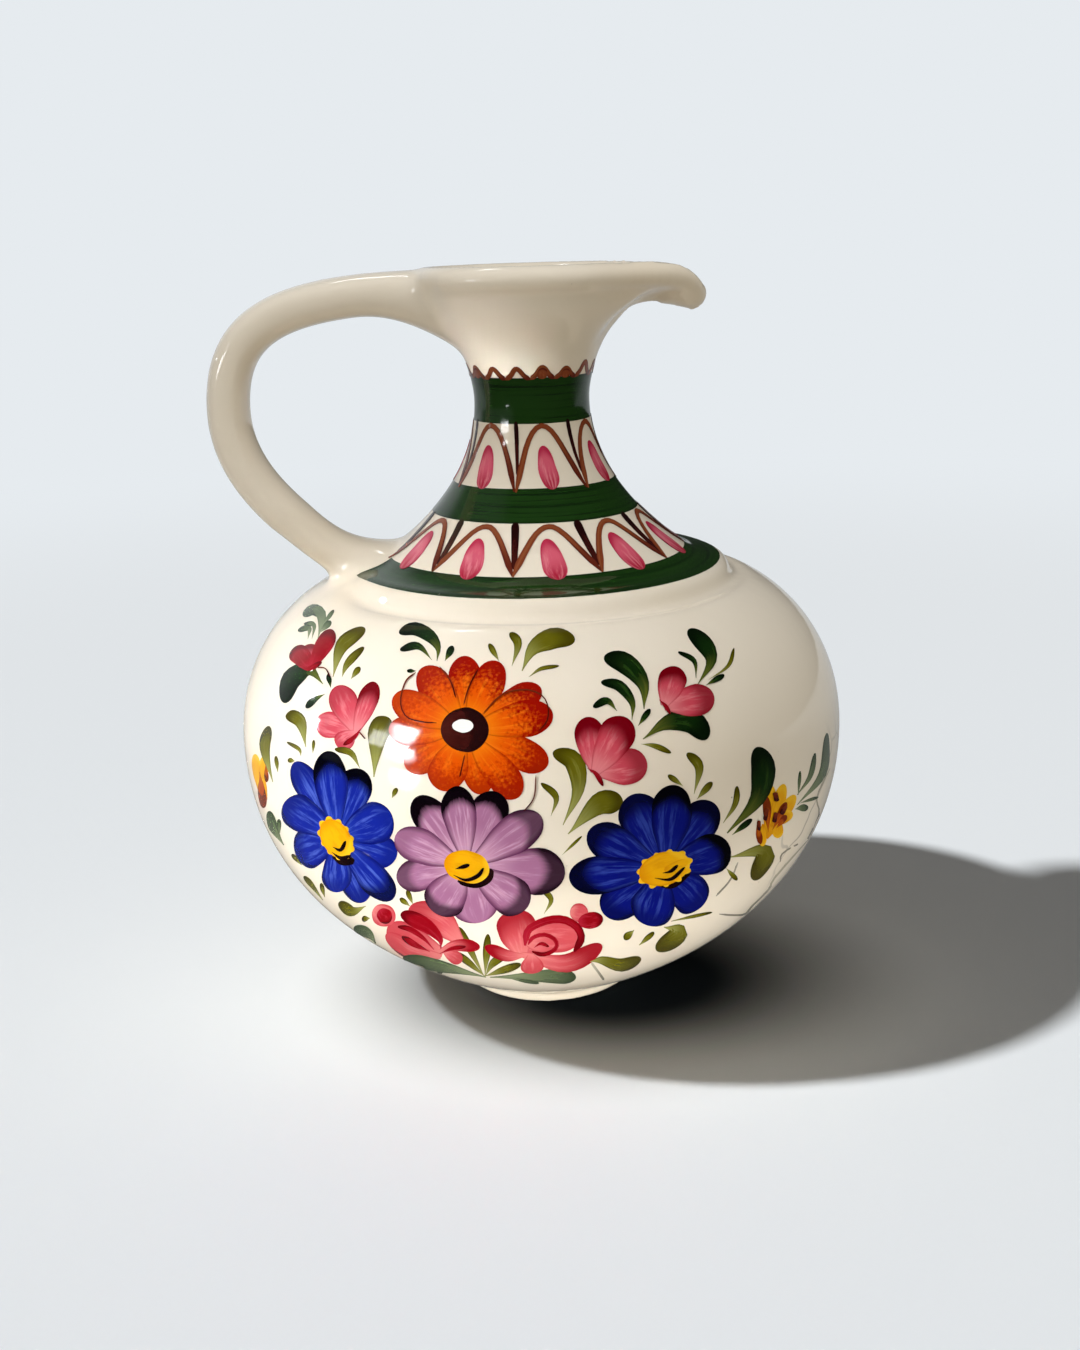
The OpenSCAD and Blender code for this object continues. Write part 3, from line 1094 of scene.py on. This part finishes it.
CRIMSON = paint(
    "crimson", (168, 26, 44), (142, 2, 18), (184, 46, 62), (104, 0, 10), (160, 20, 36),
    root_end=0.4, streaks=4.0, streak_share=0.45, tip_start=0.8, tip_softness=0.2, edge_share=0.3,
)
YELLOW = paint(
    "corn_yellow", (216, 140, 2), (230, 166, 8), (204, 128, 4), (236, 182, 30), (196, 120, 2),
    root_end=0.3, streaks=5.0, streak_share=0.4, tip_start=0.85, edge_width=0.1, edge_share=0.6,
)
OCHRE = paint(
    "ochre", (186, 92, 6), (168, 70, 4), (206, 120, 14), (120, 42, 2), (146, 58, 4), root_end=0.3,
    streaks=4.0, streak_share=0.5,
)
BLACK = paint(
    "brown_black", (30, 8, 8), (18, 4, 6), (48, 16, 12), (14, 2, 4), (26, 8, 8), streaks=3.0,
    streak_share=0.3,
)
HAIR_BROWN = paint(
    "hairline_brown", (118, 44, 18), (96, 30, 12), (140, 62, 26), (70, 18, 10), (120, 46, 20),
    streaks=2.0, streak_share=0.3,
)
WHITE = paint(
    "white_dot", (240, 236, 228), (244, 240, 232), (236, 226, 214), (244, 240, 232),
    (214, 190, 176), streak_share=0.3, edge_width=0.06,
)
print("materials:", len(bpy.data.materials))

# %% Leaves
LEAVES = {
    "dark_leaves": (DARK_LEAF, [
        (20, (284, 703), (292, 679), (309, 670), (323, 684)),
        (5, (328, 674), (331, 688)),
        (7, (306, 708), (314, 700), (325, 694)),
        (14, (399, 633), (415, 629), (430, 636), (438, 648), (437, 661)),
        (8, (400, 650), (418, 646), (432, 660)),
        (7, (453, 646), (445, 661)),
        (4, (407, 671), (416, 671)),
        (21, (604, 657), (626, 664), (643, 684), (644, 709)),
        (11, (601, 682), (619, 686), (632, 702), (632, 720)),
        (8, (593, 707), (607, 701), (617, 711)),
        (6, (650, 709), (638, 726)),
        (24, (707, 739), (692, 722), (667, 723), (643, 739)),
        (17, (688, 630), (703, 643), (711, 661), (698, 684)),
        (5, (678, 652), (694, 661), (696, 678)),
        (6, (724, 675), (706, 685)),
        (24, (757, 747), (763, 770), (757, 799), (727, 833)),
        (6, (752, 819), (732, 835)),
    ]),
    "olive_leaves": (OLIVE_LEAF, [
        (15, (365, 628), (342, 646), (333, 677)),
        (8, (364, 647), (348, 663), (342, 677)),
        (6, (360, 667), (351, 679)),
        (14, (286, 715), (300, 721), (306, 747)),
        (4, (287, 742), (299, 749), (301, 756)),
        (11, (269, 726), (265, 749), (273, 782)),
        (4, (276, 756), (278, 772)),
        (3, (314, 740), (313, 753)),
        (5, (288, 760), (295, 761)),
        (7, (335, 749), (351, 753), (360, 768)),
        (22, (388, 717), (378, 736), (374, 777)),
        (5, (397, 788), (392, 798)),
        (21, (575, 640), (552, 639), (533, 649), (522, 671)),
        (9, (510, 633), (518, 644), (512, 666)),
        (6, (489, 644), (499, 661)),
        (4, (559, 666), (541, 669), (529, 677)),
        (4, (734, 648), (728, 666), (708, 680)),
        (20, (553, 752), (574, 762), (578, 790), (563, 825)),
        (7, (541, 783), (556, 797), (551, 816)),
        (24, (623, 801), (598, 805), (568, 834)),
        (10, (687, 753), (699, 767), (694, 794)),
        (6, (671, 753), (655, 746), (641, 744)),
        (6, (668, 775), (683, 786)),
        (7, (712, 782), (697, 799)),
        (6, (737, 786), (735, 804), (723, 823)),
        (18, (753, 880), (765, 852), (730, 857)),
        (5, (737, 880), (726, 868)),
        (18, (656, 950), (680, 932), (664, 927)),
        (7, (624, 939), (634, 930)),
        (5, (654, 932), (639, 945)),
        (13, (641, 958), (621, 965), (602, 960), (590, 961)),
        (3, (712, 912), (671, 921)),
        (6, (538, 886), (551, 899), (544, 914)),
        (3, (582, 836), (562, 855)),
        (8, (488, 934), (485, 976)),
        (8, (459, 927), (470, 949), (484, 976)),
        (7, (456, 952), (485, 976)),
        (8, (505, 956), (493, 963), (485, 976)),
        (8, (521, 964), (485, 976)),
        (5, (407, 890), (413, 904)),
        (5, (400, 898), (410, 906)),
        (11, (339, 902), (352, 911), (366, 906)),
        (6, (362, 919), (370, 918)),
        (5, (304, 876), (312, 885), (323, 900)),
        (4, (292, 854), (302, 865)),
        (4, (321, 883), (325, 897)),
    ]),
    "grey_leaves": (GREY_LEAF, [
        (12, (303, 616), (313, 610), (321, 614), (321, 625), (318, 638)),
        (4, (334, 610), (322, 626)),
        (6, (331, 621), (321, 632)),
        (6, (298, 631), (309, 628), (308, 639)),
        (5, (304, 624), (314, 625), (312, 639)),
        (7, (808, 807), (795, 809)),
        (8, (827, 733), (822, 774), (797, 805)),
        (5, (815, 753), (810, 776), (797, 795)),
        (3, (800, 771), (798, 795)),
        (3, (818, 797), (800, 803)),
        (13, (403, 957), (441, 966), (486, 977)),
        (15, (576, 977), (549, 976), (490, 977)),
        (4, (539, 983), (506, 977)),
        (9, (269, 811), (274, 828), (284, 845)),
        (4, (279, 819), (280, 833)),
        (10, (354, 927), (368, 933), (376, 943)),
    ]),
}
for name, (leaf_paint, leaves) in LEAVES.items():
    painting = Painting(name, leaf_paint)
    for width, *points in leaves:
        painting.stroke("leaf", points[::-1], width, tip=0.8)
    painting.finish()

# %% [markdown]
# A daisy is a ring of petals, each pulled outwards from the middle, with an oval eye on top.
# A petal is given by where its tip lies from the middle of the flower.

# %% Daisies
PETAL_START = 0.12


def daisy(name, petal_paint, centre, petals, layer):
    painting = Painting(name, petal_paint, layer)
    middle = Vector(centre)
    for across, down, width, tip in petals:
        reach = Vector((across, down))
        painting.stroke("petal", [middle + reach * PETAL_START, middle + reach], width, tip=tip)
    painting.finish()


def turned(centre, across, down, turn):
    """A point given along the axes of an oval that is turned by so many degrees."""
    turn = math.radians(turn)
    return (
        centre[0] + across * math.cos(turn) - down * math.sin(turn),
        centre[1] + across * math.sin(turn) + down * math.cos(turn),
    )


def oval_stroke(painting, centre, half_long, half_wide, turn=0):
    ends = [turned(centre, side * half_long, 0, turn) for side in (-1, 1)]
    painting.stroke("oval", ends, 2 * half_wide)


ORANGE_EYE = (465, 730)
PURPLE_EYE = (467, 866)
LEFT_EYE = (337, 838)
RIGHT_EYE = (664, 868)
daisy("orange_daisy", ORANGE, ORANGE_EYE, [
    (0, -74, 32, 1.0), (76, -42, 30, 1.0), (83, 35, 34, 0.9), (19, 64, 30, 0.7),
    (-59, 38, 32, 0.6), (-76, 0, 32, 0.7), (-43, -62, 34, 0.9), (34, -68, 33, 1.0),
    (88, -16, 37, 1.0), (54, 67, 34, 0.9), (-25, 60, 38, 0.7), (-72, -32, 34, 0.6),
], 3)
daisy("left_blue_daisy", LIT_BLUE, LEFT_EYE, [
    (-42, -76, 26, 0.3), (24, -69, 36, 1.0), (60, 18, 34, 0.2), (27, 64, 30, 0.3),
    (-41, 16, 38, 0.3), (-9, -87, 34, 1.0), (55, -23, 42, 0.1), (56, 61, 30, 0.8),
    (0, 54, 30, 0.2), (-52, -36, 36, 0.3),
], 3)
daisy("right_blue_daisy", BLUE, RIGHT_EYE, [
    (-33, -73, 43, 0.8), (50, -65, 38, 0.9), (38, 38, 42, 0.3), (-61, 45, 40, 0.5),
    (-76, -36, 37, 0.8), (11, -83, 41, 1.0), (66, -21, 40, 1.0), (-17, 57, 44, 0.3),
    (-95, 10, 38, 0.9),
], 3)
daisy("purple_daisy", PURPLE, PURPLE_EYE, [
    (-51, -69, 35, 1.0), (31, -74, 39, 1.0), (98, 7, 46, 0.9), (13, 56, 45, 0.0),
    (-70, 12, 33, 0.6), (-11, -80, 35, 1.0), (74, -50, 39, 0.7), (61, 40, 40, 0.8),
    (-32, 46, 42, 0.8), (-71, -31, 35, 0.2),
], 8)

# %% Eyes
for name, eye_paint, layer, centre, half_long, half_wide in (
    ("orange_daisy_eye", DARK_BROWN, 9, ORANGE_EYE, 24, 22),
    ("orange_daisy_dot", WHITE, 11, (463, 726), 10.5, 6.5),
):
    eye = Painting(name, eye_paint, layer)
    oval_stroke(eye, centre, half_long, half_wide)
    eye.finish()
paint_strokes("eye_shadows", BLACK, 13, "line", (
    (7, (491, 868), (489, 878), (476, 884), (458, 880)),
    (7, (334, 853), (343, 861), (355, 860)),
    (7, (652, 880), (672, 884), (690, 869)),
))
yellow_eyes = Painting("yellow_eyes", YELLOW, 14)
RAGS = 11
for centre, half_long, half_wide, turn, ragged in (
    (PURPLE_EYE, 23, 16, 15, False),
    (LEFT_EYE, 21, 14, 58, True),
    (RIGHT_EYE, 26, 16, -18, True),
):
    if ragged:
        for i in range(RAGS):
            angle = TURN * i / RAGS
            rag = 1.12 + 0.12 * noise.noise((i * 1.9, centre[0], 0))
            tip = turned(
                centre, half_long * rag * math.cos(angle), half_wide * rag * math.sin(angle), turn
            )
            yellow_eyes.stroke("petal", [centre, tip], 8)
    oval_stroke(yellow_eyes, centre, half_long, half_wide, turn)
yellow_eyes.finish()
paint_strokes("eye_lines", BLACK, 24, "leaf", (
    (4, (456, 868), (463, 866), (470, 864)),
    (4, (454, 874), (466, 879), (478, 875), (484, 867)),
    (4, (334, 846), (342, 849), (347, 840)),
    (4, (333, 851), (342, 857), (352, 855)),
    (3.5, (662, 872), (670, 870), (677, 864)),
    (3.5, (654, 877), (670, 878), (684, 866)),
))

# %% [markdown]
# The tulips, roses and the two small yellow flowers are built in the same way: a few wide
# strokes that start at the stalk, then crimson lines that turn them into cups.

# %% Tulips and roses
tulips = Painting("tulips", PINK, 2)
for base, tips in {
    (310, 667): [(312, 644, 18, 0.9)],
    (356, 732): [(316, 721, 26, 0.1), (337, 686, 28, 0.4), (337, 746, 20, 0.2),
                 (375, 682, 21, 1.0)],
    (595, 772): [(587, 717, 30, 1.0), (647, 763, 36, 0.6), (627, 718, 36, 1.0)],
    (664, 706): [(714, 697, 32, 0.7), (677, 667, 27, 1.0)],
}.items():
    for across, down, width, tip in tips:
        tulips.stroke("petal", [base, (across, down)], width, tip=tip)
tulips.finish()

roses = Painting("roses", ROSE, 2)
for brush, width, tip, *path in (
    ("petal", 30, 0.2, (443, 953), (418, 944), (388, 926)),
    ("petal", 30, 0.5, (461, 941), (440, 922), (409, 908)),
    ("oval", 18, 0.0, (518, 950), (548, 952)),
    ("petal", 18, 0.2, (441, 956), (414, 952), (386, 934)),
    ("petal", 13, 1.0, (440, 951), (458, 945), (480, 947)),
    ("petal", 13, 0.3, (444, 951), (462, 961)),
    ("petal", 40, 0.8, (522, 955), (513, 910)),
    ("oval", 34, 0.0, (523, 938), (552, 936), (581, 936)),
    ("petal", 19, 0.9, (521, 954), (566, 963), (602, 945)),
    ("petal", 12, 1.0, (524, 955), (506, 955), (485, 946)),
    ("petal", 23, 0.2, (531, 954), (533, 973)),
    ("oval", 22, 0.0, (374, 908), (394, 922)),
    ("oval", 18, 0.0, (570, 911), (588, 914)),
):
    roses.stroke(brush, path, width, tip=tip)
roses.finish()

cups = Painting("crimson_cups", CRIMSON, 6)
for brush, width, *path in (
    ("petal", 21, (311, 668), (294, 648)),
    ("petal", 17, (311, 668), (333, 630)),
    ("oval", 15, (380, 909), (390, 922)),
    ("oval", 16, (578, 922), (603, 918)),
    ("line", 7.5, (525, 945), (528, 930), (539, 923), (553, 919), (566, 920), (577, 927),
     (581, 938), (574, 951)),
    ("line", 4, (528, 944), (533, 937), (544, 934), (554, 938), (557, 945), (552, 951),
     (542, 954), (532, 951)),
    ("leaf", 3.5, (534, 947), (541, 943), (549, 946)),
    ("leaf", 15, (441, 948), (440, 938), (428, 926), (413, 918), (401, 913)),
    ("leaf", 5, (434, 949), (424, 938), (411, 929), (398, 926)),
    ("leaf", 6, (430, 951), (415, 944), (402, 936)),
    ("leaf", 4, (440, 953), (452, 948), (466, 946)),
    ("leaf", 5, (299, 667), (310, 669), (322, 662)),
    ("leaf", 5, (362, 728), (354, 738), (344, 745)),
    ("leaf", 5, (587, 768), (596, 774), (603, 786)),
    ("leaf", 4, (659, 700), (665, 706), (670, 714)),
):
    cups.stroke(brush, path, width)
cups.finish()

# %% Yellow flowers and hairlines
paint_strokes("yellow_flowers", YELLOW, 1, "petal", (
    (9, (260, 792), (255, 754)),
    (9, (263, 792), (264, 756)),
    (9, (266, 800), (260, 778)),
    (11, (766, 838), (772, 786)),
    (12, (768, 836), (784, 784)),
    (12, (766, 838), (795, 795)),
    (12, (770, 826), (792, 812)),
    (11, (778, 816), (777, 838)),
    (8, (763, 824), (762, 846)),
))
paint_strokes("yellow_flower_seeds", OCHRE, 4, "leaf", (
    (8, (260, 772), (264, 808)),
    (4, (266, 764), (267, 782)),
    (8, (768, 832), (766, 796)),
    (7, (772, 830), (786, 802)),
    (6, (776, 828), (786, 815)),
    (6, (757, 822), (760, 844)),
))
paint_strokes("brown_hairlines", HAIR_BROWN, 16, "line", (
    (1.2, (416, 673), (406, 682), (401, 702), (407, 717), (423, 722), (437, 723)),
    (1.2, (440, 667), (451, 682), (456, 698)),
    (1.2, (464, 705), (469, 688), (478, 670)),
    (1.2, (484, 713), (502, 695), (524, 690), (541, 695), (548, 707), (547, 721), (539, 731)),
    (1.2, (465, 755), (460, 777)),
    (1.1, (536, 775), (534, 797), (524, 811)),
    (1.1, (318, 668), (326, 669), (331, 677)),
    (1.1, (360, 732), (366, 739)),
    (4.5, (774, 792), (776, 801)),
    (3.5, (785, 805), (780, 814)),
    (3.5, (775, 812), (773, 822)),
    (3.5, (766, 808), (764, 820)),
    (3, (758, 820), (758, 830)),
))

# %% [markdown]
# ## Age
# A few hairline cracks cross the lower right of the belly, and two runs of glaze have caught
# dirt near the foot. They are painted as very thin strokes, so that they follow the belly.

# %% Cracks and runs
AGE_GREY = paint(
    "age_grey", (176, 168, 148), (150, 144, 126), (196, 188, 166), (138, 132, 116),
    (190, 182, 162), streaks=2.0, edge_share=0.6,
)
paint_strokes("cracks_and_runs", AGE_GREY, 0, "line", (
    (1.5, (830, 768), (817, 797), (819, 812), (813, 834), (784, 852), (780, 862)),
    (1.8, (813, 834), (775, 877), (769, 889), (752, 906), (745, 914), (732, 915), (719, 914)),
    (2.5, (591, 962), (599, 973), (604, 980)),
    (1.5, (738, 862), (730, 880), (716, 896)),
))
paint_strokes("dark_run", BLACK, 1, "line", [(4, (447, 963), (443, 969), (437, 976))])

# %% [markdown]
# The brushes and the whole skin were only tools, so they go before the scene is lit.

# %% Tools away
for tool in [*BRUSH.values(), skin]:
    remove(tool)

# %% [markdown]
# ## Floor
# The ground is plain and pale, and far off it turns into the backdrop. Close to the foot little
# light gets in, so painted shade darkens the floor's own colour there in an oval. A pale floor
# would also haze the gloss of the dark paints, so Light Path sorts the rays: the camera sees the
# pale floor, and the glaze mirrors a dim one that grows pale only behind the jug, where it
# lightens the rim.

# %% Floor
BACKDROP = ink(230, 235, 239)
FLOOR_BOUNCE = ink(186, 182, 174)
FLOOR_MIRRORED = ink(60, 60, 60)
FLOOR_SIZE = 6.0
FADE = (0.45, 1.1)
# Place, size, softness and colour of the painted shade round the foot.
POOL_CENTRE = (20 * MM, -12 * MM, 0)
POOL_REACH = (104 * MM, 76 * MM, 1.0)
POOL_SOFT = (0.25, 0.95)
POOL_SHADE = ink(22, 27, 32)
MIRROR_FADE, MIRROR_STRENGTH = (-0.1, 0.4), 0.6


def sorted_rays(nodes):
    """What Light Path tells, and whether the camera sees the surface."""
    rays = nodes.add("LightPath").outputs
    return rays, nodes.math("MAXIMUM", rays["Is Camera Ray"], rays["Is Transmission Ray"])


bpy.ops.object.select_all(action="DESELECT")
bpy.ops.mesh.primitive_plane_add(size=FLOOR_SIZE, location=(0, 0, 0))
floor = bpy.context.object
floor.name = "floor"
pale = bpy.data.materials.new("pale_floor")
nodes = empty_nodes(pale)
end = nodes.add("OutputMaterial")
ground_place = nodes.add("TexCoord").outputs["Object"]
# Painted shade: the floor's colour darkens in an oval round the foot, standing in for the shade
# there.
oval = nodes.vector("DIVIDE", nodes.vector("SUBTRACT", ground_place, POOL_CENTRE), POOL_REACH)
shade = nodes.ramp(nodes.vector("LENGTH", oval), *POOL_SOFT)
matt = nodes.add("BsdfDiffuse", Color=nodes.mix(shade, POOL_SHADE, BACKDROP))
behind = nodes.add("SeparateXYZ", Vector=ground_place).outputs["Y"]
mirrored = nodes.mix(nodes.ramp(behind, *MIRROR_FADE), FLOOR_MIRRORED, BACKDROP)
mirror = nodes.add("Emission", Color=mirrored, Strength=MIRROR_STRENGTH)
bounce = nodes.add("BsdfDiffuse", Color=FLOOR_BOUNCE)
glow = nodes.add("Emission", Color=BACKDROP, Strength=1.0)
rays, seen = sorted_rays(nodes)
returned = nodes.either(rays["Is Glossy Ray"], bounce, mirror)
far = nodes.ramp(nodes.vector("LENGTH", ground_place), *FADE)
near_and_far = nodes.either(far, matt, glow)
nodes.feed(end, "Surface", nodes.either(seen, returned, near_and_far).outputs[0])
floor.data.materials.append(pale)
print("floor:", FLOOR_SIZE, "m wide")

# %% [markdown]
# ## Room
# The room is the world's background. A colour ramp could make it one soft grey, but then the
# gloss on the jug would say nothing about where the window is. So the glaze mirrors a room that
# is lighter on the left, dark on the right and pale behind on the left, while the camera still
# sees the plain backdrop.

# %% Room
ROOM_FILL = 0.16
ROOM_LEFT = ink(112, 114, 116)
ROOM_RIGHT = ink(34, 34, 34)
FILL_WHITE = ink(255, 250, 244)
WALL_SLANT, WALL_EDGE = -0.39, (-0.45, -0.2)
GLOW_WAY, GLOW_EDGE, WALL_GLOW = (-148, 4), (0.78, 0.95), 3.0


def toward(turn, rise):
    """Direction from the jug, turned to the right from the camera and raised, in degrees."""
    turn, rise = math.radians(turn), math.radians(rise)
    flat = math.cos(rise)
    return Vector((math.sin(turn) * flat, -math.cos(turn) * flat, math.sin(rise)))


world = bpy.data.worlds.new("studio")
bpy.context.scene.world = world
nodes = empty_nodes(world)
end = nodes.add("OutputWorld")
backdrop = nodes.add("Background", Color=BACKDROP, Strength=1.0)
fill = nodes.add("Background", Color=FILL_WHITE, Strength=ROOM_FILL)
way = nodes.add("TexCoord").outputs["Generated"]
parts = nodes.add("SeparateXYZ", Vector=way).outputs
to_right = nodes.ramp(nodes.math("MULTIPLY_ADD", parts["Y"], WALL_SLANT, parts["X"]), *WALL_EDGE)
walls = nodes.mix(to_right, ROOM_LEFT, ROOM_RIGHT)
toward_glow = nodes.vector("DOT_PRODUCT", way, toward(*GLOW_WAY))
glow = nodes.ramp(toward_glow, *GLOW_EDGE, 1.0, 1.0 + WALL_GLOW)
room = nodes.add("Background", Color=walls, Strength=glow)
rays, seen = sorted_rays(nodes)
unseen = nodes.either(rays["Is Glossy Ray"], fill, room)
nodes.feed(end, "Surface", nodes.either(seen, unseen, backdrop).outputs[0])
print("room:", len(world.node_tree.nodes), "nodes")

# %% [markdown]
# ## Lamps
# The shadow on the ground is harder than the light on the jug. One lamp can't give both, so light
# linking splits the work: a sun lights the floor alone and casts the jug's shadow, and the panes
# of a window, a soft panel overhead and weak fills light the jug alone. The bright shoulder
# throws light at the mouth, most at its foot, so a soft panel and a narrow beam that light only
# the mouth stand for that. Only the panes and two glints are left for the glaze to mirror.

# %% Lamps
BELLY = Vector((5 * MM, -30 * MM, 52 * MM))
MOUTH = Vector((0, -20 * MM, 190 * MM))
THROAT = Vector((-6 * MM, -18 * MM, 170 * MM))
SUN_TURN, SUN_RISE, SUN_STRENGTH = -80, 48, 3.3
WINDOW_PANES = {"top": (-54, 25), "middle": (-52, 14), "bottom": (-50, 1)}
SIDE_PANES = {"top": (-103, 22), "bottom": (-93, 13)}
WINDOW_POWER, SIDE_POWER, WINDOW_SPREAD = 0.015, 0.011, 15
LAMP_DISTANCE = 0.7
OVERHEAD_POWER, FRONT_POWER, TABLE_POWER, BACK_POWER = 5.1, 0.84, 0.14, 1.4
MOUTH_POWER, THROAT_POWER = 0.12, 0.0031
COOL, WARM = (0.98, 1.0, 1.04), (1.06, 1.0, 0.84)
GLINTS = {"lip": (-57, 8, 0.7, 0.2, 0.1), "handle": (-155, 58, 0.22, 0.11, 0.04)}

floor_only = bpy.data.collections.new("floor_only")
floor_only.objects.link(floor)
jug_only = bpy.data.collections.new("jug_only")
for obj in bpy.context.scene.objects:
    if obj.type == "MESH" and obj is not floor:
        jug_only.objects.link(obj)


def lamp(name, kind, place, aim, power, receivers):
    bpy.ops.object.light_add(type=kind, location=place)
    light = bpy.context.object
    light.name = name
    light.rotation_euler = (aim - place).to_track_quat("-Z", "Y").to_euler()
    light.data.energy = power
    light.light_linking.receiver_collection = receivers
    light.visible_camera = False
    return light


def panel(name, place, aim, power, wide, high, spread=180, mirrored=False, tint=COOL):
    light = lamp(name, "AREA", place, aim, power, jug_only)
    light.visible_glossy = mirrored
    light.data.color = tint
    light.data.shape = "RECTANGLE"
    light.data.size, light.data.size_y = wide, high
    light.data.spread = math.radians(spread)
    return light


sun = lamp("sun", "SUN", toward(SUN_TURN, SUN_RISE), Vector(), SUN_STRENGTH, floor_only)
sun.data.angle = math.radians(3.5)
for name, panes, power, size in (
    ("window_", WINDOW_PANES, WINDOW_POWER, (0.13, 0.1)),
    ("side_window_", SIDE_PANES, SIDE_POWER, (0.06, 0.06)),
):
    for label, way in panes.items():
        place = BELLY + toward(*way) * LAMP_DISTANCE
        panel(name + label, place, BELLY, power, *size, WINDOW_SPREAD, True)
for name, (turn, rise, power, wide, high) in GLINTS.items():
    place = MOUTH + toward(turn, rise) * LAMP_DISTANCE
    panel("glint_" + name, place, MOUTH, power, wide, high, mirrored=True)
panel("overhead", Vector((0.05, -0.25, 0.95)), AIM, OVERHEAD_POWER, 0.7, 0.7)
panel("front_fill", Vector((0.5, -0.8, 0.14)), AIM, FRONT_POWER, 0.9, 0.22, tint=WARM)
panel("back_fill", Vector((0.25, 0.8, 0.35)), AIM, BACK_POWER, 0.6, 0.6)
TABLE = Vector((0.07, -0.32, 0.012))
panel("table_glow", TABLE, Vector((0, -0.03, 0.008)), TABLE_POWER, 0.42, 0.02, 34)
mouth_only = bpy.data.collections.new("mouth_only")
mouth_only.objects.link(bpy.data.objects["jug_mouth"])
soft = panel("mouth_glow", MOUTH + toward(-66, -14) * 0.5, MOUTH, MOUTH_POWER, 0.25, 0.12)
beside = THROAT + toward(-48, 26) * 0.25
beam = panel("throat_glow", beside, THROAT, THROAT_POWER, 0.02, 0.01, 10)
for light in (soft, beam):
    light.light_linking.receiver_collection = mouth_only
bpy.context.scene.view_settings.view_transform = "Standard"
